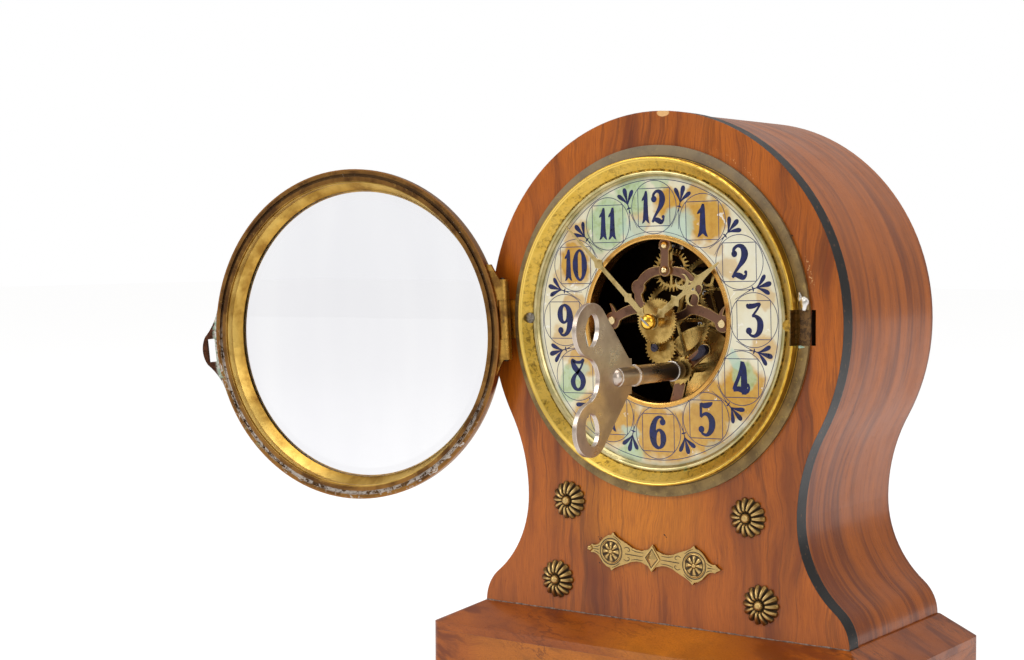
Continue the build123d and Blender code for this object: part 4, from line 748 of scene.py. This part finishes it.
# Strokes of each figure as (across, up, width), drawn in a space about 8 wide and 14.5 tall
figures = {
    "0": {"loop": [(0, 6.7, 1.1), (-1.9, 5.2, 1.7), (-2.8, 2.2, 2.7), (-2.9, 0, 2.9), (-2.8, -2.2, 2.7),
                   (-1.9, -5.2, 1.7),
                   (0, -6.7, 1.1), (1.9, -5.2, 1.7), (2.8, -2.2, 2.7), (2.9, 0, 2.9), (2.8, 2.2, 2.7),
                   (1.9, 5.2, 1.7)]},
    "1": {"strokes": [[(0.5, 7.2, 0.9), (0.2, 5.2, 1.9), (0.1, 1.0, 2.3), (0, -3.6, 2.8), (0, -4.8, 3.2)],
                      [(0.6, 7.0, 0.8), (-0.4, 5.0, 1.2), (-1.5, 3.8, 1.1), (-2.3, 3.0, 0.4)]],
          "fills": [[(-1.55, -4.4), (1.55, -4.4), (2.5, -7.2), (1.2, -6.7), (0, -5.6), (-1.2, -6.7),
                     (-2.5, -7.2)]]},
    "2": {"strokes": [[(-2.8, 3.6, 1.2), (-2.5, 5.6, 1.3), (-0.6, 6.9, 1.3), (1.6, 6.3, 2.1), (2.7, 3.8, 3.0),
                       (2.0, 1.0, 2.6), (0.0, -1.7, 1.6), (-2.2, -4.4, 1.1), (-3.5, -6.5, 1.0)],
                      [(-3.6, -6.6, 1.0), (-2.2, -5.5, 1.6), (0, -5.9, 2.4), (1.8, -6.6, 2.0),
                       (3.2, -5.6, 1.0), (3.4, -4.2, 0.7)]],
          "balls": [(-2.4, 3.5, 1.45), (3.1, -4.4, 0.8)]},
    "3": {"strokes": [[(-3.3, 6.9, 0.7), (-2.6, 6.0, 2.0), (-0.4, 6.0, 1.9), (2.0, 6.7, 1.4),
                       (3.4, 6.9, 0.9)],
                      [(3.3, 6.9, 0.8), (1.6, 4.4, 0.9), (-0.6, 1.8, 0.9)],
                      [(-0.9, 1.7, 0.8), (1.0, 1.6, 1.4), (2.8, -0.2, 2.5), (3.1, -2.8, 2.8),
                       (2.2, -5.4, 2.2),
                       (0.2, -6.8, 1.3), (-1.8, -6.3, 1.0), (-2.9, -4.8, 0.8)]],
          "balls": [(-2.5, -4.6, 1.5)]},
    "4": {"strokes": [[(0.6, 7.2, 1.3), (0.2, 4.2, 1.6), (-1.2, 0.4, 1.5), (-2.8, -3.0, 1.6),
                       (-3.8, -4.9, 1.2)],
                      [(0.9, 7.0, 1.2), (1.4, 4.2, 2.3), (1.5, 0.0, 2.7), (1.5, -4.0, 2.8), (1.4, -7.0, 2.0)],
                      [(-3.9, -5.2, 1.3), (-1.6, -4.6, 2.0), (0.8, -5.1, 2.2), (2.8, -5.6, 1.8),
                       (3.9, -4.4, 1.0),
                       (3.8, -2.9, 0.7)]],
          "balls": [(3.3, -3.0, 0.85)]},
    "5": {"strokes": [[(-2.5, 6.9, 1.0), (-1.2, 6.0, 1.9), (0.8, 6.1, 2.2), (2.4, 6.7, 1.6), (3.4, 7.4, 0.5)],
                      [(-2.5, 7.0, 1.1), (-2.5, 4.0, 1.2), (-2.6, 1.0, 1.0)],
                      [(-2.6, 0.8, 0.8), (-1.0, 2.2, 1.2), (1.0, 2.1, 1.8), (2.7, 0.2, 2.7), (3.1, -2.4, 2.9),
                       (2.2, -5.2, 2.3), (0.2, -6.8, 1.3), (-1.9, -6.2, 1.0), (-2.9, -4.6, 0.8)]],
          "balls": [(-2.4, -4.4, 1.5)]},
    "6": {"strokes": [[(2.9, 4.6, 0.9), (2.4, 6.3, 1.0), (0.6, 6.9, 1.2), (-1.4, 5.5, 2.0), (-2.7, 2.4, 2.8),
                       (-3.0, -1.0, 3.0), (-2.4, -4.4, 2.6), (-1.2, -6.2, 1.7), (0.4, -6.9, 1.1)]],
          "balls": [(2.4, 4.7, 1.5)],
          "loop": [(-1.6, -1.8, 1.2), (-0.9, 0.4, 1.1), (0.7, 1.1, 1.2), (2.2, -0.4, 2.3), (2.6, -2.8, 2.7),
                   (2.1, -5.2, 2.1), (0.6, -6.7, 1.1), (-0.9, -6.2, 1.1), (-1.6, -4.4, 1.2)]},
    "7": {"strokes": [[(-3.4, 7.0, 0.7), (-2.4, 6.0, 1.9), (-0.4, 6.4, 2.1), (1.6, 5.8, 1.8),
                       (3.4, 6.9, 0.8)],
                      [(3.4, 6.8, 0.8), (2.0, 3.6, 1.3), (0.6, 0.2, 2.1), (0.0, -3.4, 2.8),
                       (-0.1, -4.8, 3.2)],
                      [(-3.4, 7.0, 0.6), (-3.5, 5.6, 0.7), (-3.3, 4.4, 0.5)]],
          "fills": [[(-1.65, -4.4), (1.45, -4.4), (2.4, -7.2), (1.1, -6.7), (-0.1, -5.6), (-1.3, -6.7),
                     (-2.6, -7.2)]]},
    "8": {"loop": [(-2.9, 6.4, 1.6), (-1.9, 3.6, 2.5), (0.2, 1.4, 2.4), (2.2, -0.8, 2.6), (2.9, -3.2, 2.6),
                   (1.9, -5.8, 1.9), (0, -6.8, 1.2), (-1.9, -5.8, 1.9), (-2.8, -3.2, 2.4), (-1.8, -0.6, 1.7),
                   (0.2, 1.4, 1.0), (1.9, 3.6, 0.9), (2.9, 6.3, 1.1), (1.4, 5.7, 1.3), (-0.8, 5.7, 1.2)],
          "balls": [(2.9, 6.5, 0.9)]},
}
figures["9"] = {"strokes": [[(-x, -z, w) for x, z, w in line] for line in figures["6"]["strokes"]],
                "balls": [(-x, -z, r) for x, z, r in figures["6"]["balls"]],
                "loop": [(-x, -z, w) for x, z, w in figures["6"]["loop"]]}

# Which figures make each hour, with their shift and width share
hourFigures = {
    1: (("1", 0.1, 1.1),), 2: (("2", 0, 1.0),), 3: (("3", 0, 1.0),), 4: (("4", -0.2, 1.0),),
               5: (("5", 0, 1.0),),
    6: (("6", 0, 1.0),), 7: (("7", 0, 1.0),), 8: (("8", 0, 1.0),), 9: (("9", 0, 1.0),),
    10: (("1", -3.9, 0.82), ("0", 2.3, 0.86)), 11: (("1", -2.4, 0.86), ("1", 2.4, 0.86)),
    12: (("1", -4.2, 0.82), ("2", 2.1, 0.86)),
}


def drawFigure(sheet, name, at, width, y, scale=0.97):
    figure = figures[name]

    def put(x, z, w=None):
        spot = (at[0] + x * width * scale, at[1] + z * scale)
        return spot if w is None else spot + (w * 1.12 * scale * (0.35 + 0.65 * width),)

    layer = 0
    for line in figure.get("strokes", ()):
        sheet.stroke([put(*point) for point in line], y - 0.002 * layer)
        layer += 1
    if "loop" in figure:
        sheet.stroke([put(*point) for point in figure["loop"]], y - 0.002 * layer, closed=True)
    for x, z, radius in figure.get("balls", ()):
        layer += 1
        sheet.disc(put(x, z), radius * scale, y - 0.002 * layer)
    for outline in figure.get("fills", ()):
        layer += 1
        sheet.polygon([put(x, z) for x, z in outline], y - 0.002 * layer)


dialLines = {"circle": 11.35, "square": 8.05, "outer": 60.0, "width": 0.3, "lift": -0.03}


def drawSprig(ink, fine, turn):
    # three leaves on a stem, with two hair lines that part towards the centre
    def put(side, out):
        angle = radians(turn)
        return (out * sin(angle) + side * cos(angle), out * cos(angle) - side * sin(angle))

    def leaf(points):
        ink.stroke([put(side, out) + (width,) for side, out, width in points], dialLines["lift"] - 0.01)

    leaf([(0, 51.6, 0.3), (0, 53.6, 0.9), (0, 55.8, 1.8), (0, 57.3, 2.2), (0, 58.3, 1.7), (0, 58.8, 0.7)])
    for side in (-1, 1):
        leaf([(side * 0.15, 51.6, 0.3), (side * 0.8, 52.9, 0.8), (side * 1.9, 54.4, 1.5),
              (side * 3.0, 55.7, 1.9),
              (side * 3.7, 56.4, 1.5), (side * 4.1, 56.8, 0.6)])
        fine.stroke([put(0, 49.2) + (0.3,), put(side * 0.7, 45.5) + (0.26,), put(side * 1.9, 40.4) + (0.22,)],
                    dialLines["lift"])
    ink.stroke([put(0, 47.6) + (0.35,), put(0, 50.5) + (0.45,), put(0, 53.0) + (0.6,)],
               dialLines["lift"] - 0.004)
    ink.stroke([put(-1.1, 49.6) + (0.45,), put(0, 49.8) + (0.7,), put(1.1, 49.6) + (0.45,)],
               dialLines["lift"] - 0.006)


def buildDialArt():
    ink, fine = Sheet(1.4, 0.5), Sheet(1.4, 0.5)  # the plate sits a little turned in its bezel
    lift, width = dialLines["lift"], dialLines["width"]
    fine.ring((0, 0), dialLines["outer"], width, lift, 180)
    fine.ring((0, 0), 37.9, 0.22, lift, 140)
    for hour in range(1, 13):
        at = hourPlace(hour)
        half = dialLines["square"]
        fine.ring(at, dialLines["circle"], width, lift - 0.002)
        corners = [(at[0] + a * half, at[1] + b * half) for a, b in ((-1, -1), (1, -1), (1, 1), (-1, 1))]
        for index in range(4):
            first, second = corners[index], corners[(index + 1) % 4]
            fine.stroke([first + (width,), second + (width,)], lift - 0.004, steps=1)
        for name, shift, share in hourFigures[hour]:
            drawFigure(ink, name, (at[0] + shift, at[1]), share, lift - 0.02)
        drawSprig(ink, fine, 30 * hour + 15)
    newPiece("dialFigures", ink.mesh("dialFigures"), numeralBlue)
    newPiece("dialHairlines", fine.mesh("dialHairlines"), lineBlue)


buildDialArt()
print("dial done")


def castBrass(name, low, high):
    # antique cast brass, dark in its hollows, rubbed bright on its high points
    w = Finish(name, bevel=0.15)
    rise = -1 * w.y
    hollow = w.raw.add("Attribute", {"attribute_name": "hollow"}, out=2)
    cloud = w.place.noise(0.25, 4, 0.6)
    grain = w.place.noise(1.6, 4, 0.65)
    colour = blend(cloud.fade(0.35, 0.7), tone(150, 118, 66), tone(112, 84, 46))
    rubbed = (rise + grain * 0.8).fade(low, high) * (1 - hollow.fade(0.2, 0.7))
    colour = blend(rubbed * 0.75, colour, tone(216, 182, 118))
    dark = hollow.fade(0.3, 0.9)
    colour = blend(dark * 0.84, colour, tone(38, 27, 17))
    rough = dark * 0.35 + cloud * 0.15 + 0.24
    return w.done(colour, rough, 1.0 - dark * 0.55, grain, 0.15, 0.0002)


def storeHollow(mesh, test):
    layer = mesh.attributes.new("hollow", "FLOAT", "POINT")
    for vertex in mesh.vertices:
        local = (vertex.co - dialCentre) * 1000
        layer.data[vertex.index].value = test(local.x, local.y, local.z)


rosette = {"radius": 8.5, "petals": 14, "knob": 2.0,
           "places": ((-45.8, -80.5), (45.8, -80.5), (-52.2, -116.4), (52.2, -116.4))}


def buildRosettes():
    material = castBrass("rosetteBrass", 2.0, 3.4)
    half = rosette["petals"] / 2
    made = []

    def petal(angle):
        return abs(cos(half * angle))

    def reach(angle):
        return rosette["radius"] - 1.25 * (1 - petal(angle) ** 0.55)

    def height(share, angle):
        radius = share * rosette["radius"]
        if radius < rosette["knob"]:
            return 2.5 + sqrt(max(rosette["knob"] ** 2 - radius ** 2, 0)) * 0.95
        dip = min((radius - rosette["knob"]) / 1.6, 1)
        crown = 1.7 + 1.6 * dip - 2.4 * max((share - 0.42) / 0.58, 0) ** 1.8
        return max(crown - 1.15 * (1 - petal(angle)) ** 1.3 * min(share * 1.6, 1), 0.25)

    for index, at in enumerate(rosette["places"]):
        mesh = radialMesh(f"rosette{index}", at, height, 26, rosette["petals"] * 12, reach)

        def hollowAt(x, y, z, at=at):
            radius = hypot(x - at[0], z - at[1])
            angle = atan2(z - at[1], x - at[0])
            if radius < rosette["knob"] - 0.1:
                return 0.0
            collar = max(1 - abs(radius - rosette["knob"] - 0.3) / 0.8, 0)
            groove = (1 - petal(angle)) ** 0.8 * 1.25
            return min(max(collar, groove), 1)

        storeHollow(mesh, hollowAt)
        made.append(newPiece(f"rosette{index}", mesh, material, angle=60))
    for piece in made:
        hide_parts("rosettes")


mount = {"x": -1.2, "z": -102.1, "tilt": 2.6, "thick": 1.4, "pitch": 21.4}


def mountPlace(x, z):
    turn = radians(mount["tilt"])
    return (x * cos(turn) + z * sin(turn) + mount["x"], -x * sin(turn) + z * cos(turn) + mount["z"])


def mountEdge():
    # the upper edge from tip to tip: spear, roundel, barb, hollow shoulder, waist and lozenge
    half = [(0, 6.0), (2.0, 3.6), (3.4, 3.2), (5.4, 2.5), (8.0, 2.5), (10.6, 3.1), (13.0, 4.3),
            (15.2, 5.2), (17.2, 6.0),
            (19.2, 7.0), (20.9, 8.5), (21.7, 7.3), (23.4, 6.9), (25.4, 5.6), (27.0, 3.8), (28.2, 2.5),
            (29.4, 1.9),
            (30.6, 1.6), (31.8, 1.9), (32.4, 1.2)]
    return [(-x, z) for x, z in reversed(half[1:])] + half + [(33.6, 0.5), (34.4, 0.1)]


def buildMount():
    material = castBrass("mountBrass", 0.9, 2.2)
    plate = Sheet()
    plate.strip([mountPlace(x, z) for x, z in mountEdge()], [mountPlace(x, -z) for x, z in mountEdge()], 0.0)
    mesh = plate.mesh("mountPlate", mount["thick"])
    storeHollow(mesh, lambda x, y, z: 0.25 if y > -0.4 else 0.0)
    made = [newPiece("mountPlate", mesh, material)]
    bevel = made[0].modifiers.new("edge", "BEVEL")
    bevel.width = 0.0003
    bevel.segments = 2
    bevel.limit_method = "ANGLE"

    top = -mount["thick"]
    for side in (-1, 1):
        centre = mountPlace(side * mount["pitch"], 0)

        def flower(share, angle):
            # eight petals in a sunk ring with a bead in the middle
            radius = share * 5.3
            petal = abs(cos(4 * angle))
            if radius < 0.9:
                return mount["thick"] + 0.75 + sqrt(0.81 - radius * radius) * 0.5
            if radius > 4.5:
                return mount["thick"] + 0.55 * (1 - abs(radius - 4.9) / 0.4)
            lift = 0.62 - 0.55 * max(radius - 2.6, 0) / 1.6
            return mount["thick"] + max(lift - 0.75 * (1 - petal) ** 1.2, 0.03)

        mesh = radialMesh("mountFlower", centre, flower, 22, 96, lambda angle: 5.3)

        def hollowAt(x, y, z, centre=centre):
            radius = hypot(x - centre[0], z - centre[1])
            angle = atan2(z - centre[1], x - centre[0])
            if radius < 0.8 or radius > 4.7:
                return 0.0
            ring = max(1 - abs(radius - 4.3) / 0.45, 0)
            collar = max(1 - abs(radius - 1.1) / 0.35, 0) * 0.8
            return min(max(ring, collar, (1 - abs(cos(4 * angle))) ** 0.9 * 1.3 * min(radius / 2.6, 1)), 1)

        storeHollow(mesh, hollowAt)
        made.append(newPiece("mountFlower", mesh, material, angle=60))

    # the middle lozenge: a pyramid inside a frame
    frameSheet = Sheet()

    def lozenge(width, height, y, sheet):
        sheet.polygon([mountPlace(*spot) for spot in ((-width, 0), (0, -height), (width, 0), (0, height))], y)

    lozenge(4.3, 5.5, top + 0.02, frameSheet)
    mesh = frameSheet.mesh("mountFrame", 0.45)
    storeHollow(mesh, lambda x, y, z: 0.0)
    made.append(newPiece("mountFrame", mesh, material))
    corners = [mountPlace(*spot) for spot in ((-3.0, 0), (0, -3.9), (3.0, 0), (0, 3.9))]
    peakX, peakZ = mountPlace(0, 0)
    points = [toRow(x, top - 0.44, z) for x, z in corners] + [toRow(peakX, top - 2.3, peakZ)]
    mesh = meshOf("mountPyramid", points, [[0, 1, 4], [1, 2, 4], [2, 3, 4], [3, 0, 4], [3, 2, 1, 0]])
    storeHollow(mesh, lambda x, y, z: 0.0)
    made.append(newPiece("mountPyramid", mesh, material, angle=10))

    # engraved lines and curls, filled with dark wax
    cut = Sheet()
    y = top - 0.012

    def line(points, width=0.35):
        cut.stroke([mountPlace(x, z) + (width * share,) for x, z, share in points], y, steps=6)

    for side in (-1, 1):
        for flip in (-1, 1):
            line([(side * 4.6, flip * 1.7, 0.6), (side * 8.0, flip * 1.7, 1), (side * 10.8, flip * 2.3, 0.6)])
            line([(side * 16.4, flip * 4.4, 0.5), (side * 18.4, flip * 5.9, 1),
                  (side * 20.6, flip * 7.0, 0.5)])
            line([(side * 14.6, flip * 2.4, 0.7), (side * 13.2, flip * 3.0, 1),
                  (side * 11.8, flip * 2.4, 1.1),
                  (side * 11.9, flip * 1.4, 0.9), (side * 12.8, flip * 1.5, 0.5)])
            line([(side * 27.4, flip * 2.0, 0.6), (side * 28.8, flip * 1.2, 1),
                  (side * 30.4, flip * 0.9, 0.6)])
        line([(side * 4.6, 0, 0.6), (side * 9.0, 0, 1), (side * 14.0, 0, 1)], 0.4)
        line([(side * 28.0, 0, 1.2), (side * 30.0, 0.0, 0.8), (side * 31.8, 0, 0.3)], 0.4)
        cut.ring(mountPlace(side * mount["pitch"], 0), 5.75, 0.45, y)
    lozenge(3.35, 4.35, top - 0.445, cut)
    wax = Finish("engravedWax")
    crumb = wax.place.noise(1.2, 3, 0.6)
    waxDark = wax.done(blend(crumb.fade(0.3, 0.7), tone(34, 25, 17), tone(66, 50, 32)), crumb * 0.2 + 0.5,
                       0.2, crumb, 0.2, 0.0001)
    newPiece("mountEngraving", cut.mesh("mountEngraving"), waxDark)

    bead = radialMesh("mountBead", mountPlace(-32.6, 0),
                      lambda share, angle: 1.4 + 1.1 * sqrt(max(1 - share ** 2, 0)), 8, 28,
                      lambda angle: 1.35)
    storeHollow(bead, lambda x, y, z: 0.35)
    made.append(newPiece("mountBead", bead, material, angle=60))
    for piece in made:
        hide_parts("brass_mount")


buildRosettes()
buildMount()
print("ornaments done")


# Marks of use: solder at the catch, wax in the plinth's joint, and pin holes
def lump(name, centre, size, material, seed, body="case", rings=10, steps=20):
    # an uneven blob lying against the front, its shape from a few fixed waves
    def bump(angle, share):
        return 1 + 0.16 * sin(3 * angle + seed) + 0.1 * sin(5 * angle + 2.1 * seed + 4 * share)

    points, faces = [], []
    for ring in range(rings + 1):
        tilt = pi * ring / rings
        for step in range(steps):
            angle = 2 * pi * step / steps
            swell = bump(angle, tilt)
            points.append(toRow(centre[0] + size[0] * sin(tilt) * cos(angle) * swell,
                                centre[1] - size[1] * cos(tilt),
                                centre[2] + size[2] * sin(tilt) * sin(angle) * swell))
    for ring in range(rings):
        for step in range(steps):
            a, b = ring * steps + step, ring * steps + (step + 1) % steps
            faces.append([a, b, b + steps, a + steps])
    return newPiece(name, cleaned(meshOf(name, points, faces)), material, body, angle=80)


solder = metalFinish("tinSolder", tone(226, 222, 216), tone(170, 162, 150), tone(90, 80, 66), 0.3, 0.4,
                     0.3, bevel=0)
verdigris = Finish("verdigris")
crust = verdigris.place.noise(1.4, 4, 0.7)
greenCrust = verdigris.done(blend(crust.fade(0.35, 0.65), tone(96, 140, 112), tone(190, 206, 190)),
                            crust * 0.2 + 0.6, 0.0,
                            crust, 0.5, 0.0003)
lump("catchSolder", (72.6, -1.7, 9.2), (1.9, 0.9, 3.0), solder, 0.6)
lump("catchSolderFoot", (70.6, -1.9, 11.6), (1.0, 0.7, 1.8), solder, 2.2)
lump("catchVerdigris", (71.0, -1.2, -8.6), (1.6, 0.8, 0.6), greenCrust, 1.4)

jointWax = Finish("jointWax")
flake = jointWax.place.noise(0.5, 4, 0.7)
greyWax = jointWax.done(blend(flake.fade(0.35, 0.65), tone(150, 132, 118), tone(84, 66, 54)),
                        flake * 0.2 + 0.5, 0.0,
                        flake, 0.4, 0.0003)


def buildJointWax():
    # a thin uneven line of old wax along the foot of the case
    left, right = [], []
    steps = 150
    for index in range(steps + 1):
        x = -93 + 186 * index / steps
        wide = 0.28 + 0.16 * sin(index * 0.9) + 0.12 * sin(index * 2.3 + 1)
        left.append((x, -130.15 + wide / 2 + 0.08 * sin(index * 0.5)))
        right.append((x, -130.3 - wide / 2))
    sheet = Sheet()
    sheet.strip(left, right, -0.02)
    newPiece("jointWaxLine", sheet.mesh("jointWaxLine", 0.12), greyWax)


buildJointWax()

pinHole = Finish("pinHole")
soot = pinHole.place.noise(1.0, 3, 0.6)
holeDark = pinHole.done(blend(soot.fade(0.3, 0.7), tone(18, 9, 6), tone(46, 22, 12)), 0.8, 0.0, soot, 0.3,
                        0.0002)


def buildPinHoles():
    sheet = Sheet()
    for x, z, size in ((-29.4, -96.6, 0.5), (-28.6, -95.9, 0.35), (-28.4, -106.0, 0.55), (-29.6, -107.0, 0.4),
                       (4.4, -91.6, 0.5), (5.2, -92.4, 0.35), (-30.2, -95.6, 0.3), (66.0, 36.5, 0.45),
                       (60.0, 44.0, 0.3)):
        sheet.stroke([(x - size, z + size * 0.5, size * 0.5), (x, z, size * 1.2),
                      (x + size, z - size * 0.7, size * 0.5)],
                     -0.02, steps=4)
    newPiece("pinHoles", sheet.mesh("pinHoles"), holeDark)


buildPinHoles()


def buildNutSlot():
    # the bright taper pin's slot across the nut
    sheet = Sheet()
    turn = radians(-40)
    sheet.stroke([(-2.5 * cos(turn), -2.5 * sin(turn), 0.5), (0, 0, 0.95),
                  (2.5 * cos(turn), 2.5 * sin(turn), 0.5)],
                 -8.78, steps=4)
    newPiece("nutPin", sheet.mesh("nutPin", 0.25), arborSteel, "minute")


buildNutSlot()
print("marks of use done")


def buildFloor():
    edge = 6.0
    points = [(-edge, -edge, 0), (edge, -edge, 0), (edge, edge, 0), (-edge, edge, 0)]
    mesh = bpy.data.meshes.new("paperFloor")
    mesh.from_pydata(points, [], [(0, 1, 2, 3)])
    floor = bpy.data.objects.new("paperFloor", mesh)
    bpy.context.scene.collection.objects.link(floor)
    w = Finish("paperWhite")
    fibre = w.place.noise(0.02, 3, 0.5)
    mesh.materials.append(w.done(blend(fibre, tone(148, 148, 148), tone(152, 152, 152)), 0.9, 0.0,
                                 Emission_Color=(1, 1, 1, 1), Emission_Strength=0.8))


lights = {
    "leftBox": {"at": (-1.1, -1.5, 1.25), "size": (0.9, 1.1), "watts": 15, "aim": (0, 0, 0.15)},
    "rightBox": {"at": (1.5, -0.9, 0.9), "size": (0.7, 1.1), "watts": 7, "aim": (0, 0, 0.15)},
    "topBox": {"at": (0.1, -0.15, 1.6), "size": (1.2, 1.0), "watts": 9, "aim": (0, 0, 0.1)},
}


def buildLights():
    for name, light in lights.items():
        data = bpy.data.lights.new(name, "AREA")
        data.shape = "RECTANGLE"
        data.size, data.size_y = light["size"]
        data.energy = light["watts"]
        lamp = bpy.data.objects.new(name, data)
        bpy.context.scene.collection.objects.link(lamp)
        lamp.location = light["at"]
        aim = Vector(light["aim"]) - Vector(light["at"])
        lamp.rotation_euler = aim.to_track_quat("-Z", "Y").to_euler()
    world = bpy.data.worlds.new("studio")
    bpy.context.scene.world = world
    world.use_nodes = True
    tree = world.node_tree
    background = tree.nodes["Background"]
    paths = tree.nodes.new("ShaderNodeLightPath").outputs
    path = Wire(tree, paths["Is Camera Ray"]).most(Wire(tree, paths["Is Transmission Ray"]))
    coords = Wire(tree, tree.nodes.new("ShaderNodeTexCoord").outputs["Generated"])
    height = coords.split()[2]
    room = blend(height.fade(-0.15, 0.75), (0.26, 0.26, 0.26, 1), (0.56, 0.55, 0.54, 1))
    colour = blend(path, room, (1.0, 1.0, 1.0, 1))
    tree.links.new(colour.socket, background.inputs["Color"])
    background.inputs["Strength"].default_value = 1.0


view = {"at": (0.4123, -0.6667, 0.1993), "ahead": (-0.5496, 0.8338, -0.0511),
        "up": (-0.0281, 0.0427, 0.9986), "lens": 62.02, "shift": -0.1348}


def buildCamera():
    data = bpy.data.cameras.new("photoCamera")
    data.lens = view["lens"]
    data.sensor_width = 36
    data.shift_x = view["shift"]
    data.clip_start = 0.01
    camera = bpy.data.objects.new("photoCamera", data)
    bpy.context.scene.collection.objects.link(camera)
    ahead, up = Vector(view["ahead"]).normalized(), Vector(view["up"]).normalized()
    right = ahead.cross(up).normalized()
    up = right.cross(ahead)
    turned = Matrix((right, up, -ahead)).transposed().to_4x4()
    camera.matrix_world = Matrix.Translation(view["at"]) @ turned
    bpy.context.scene.camera = camera
    bpy.context.scene.view_settings.view_transform = "Standard"


buildFloor()
buildLights()
buildCamera()
print("stage done")
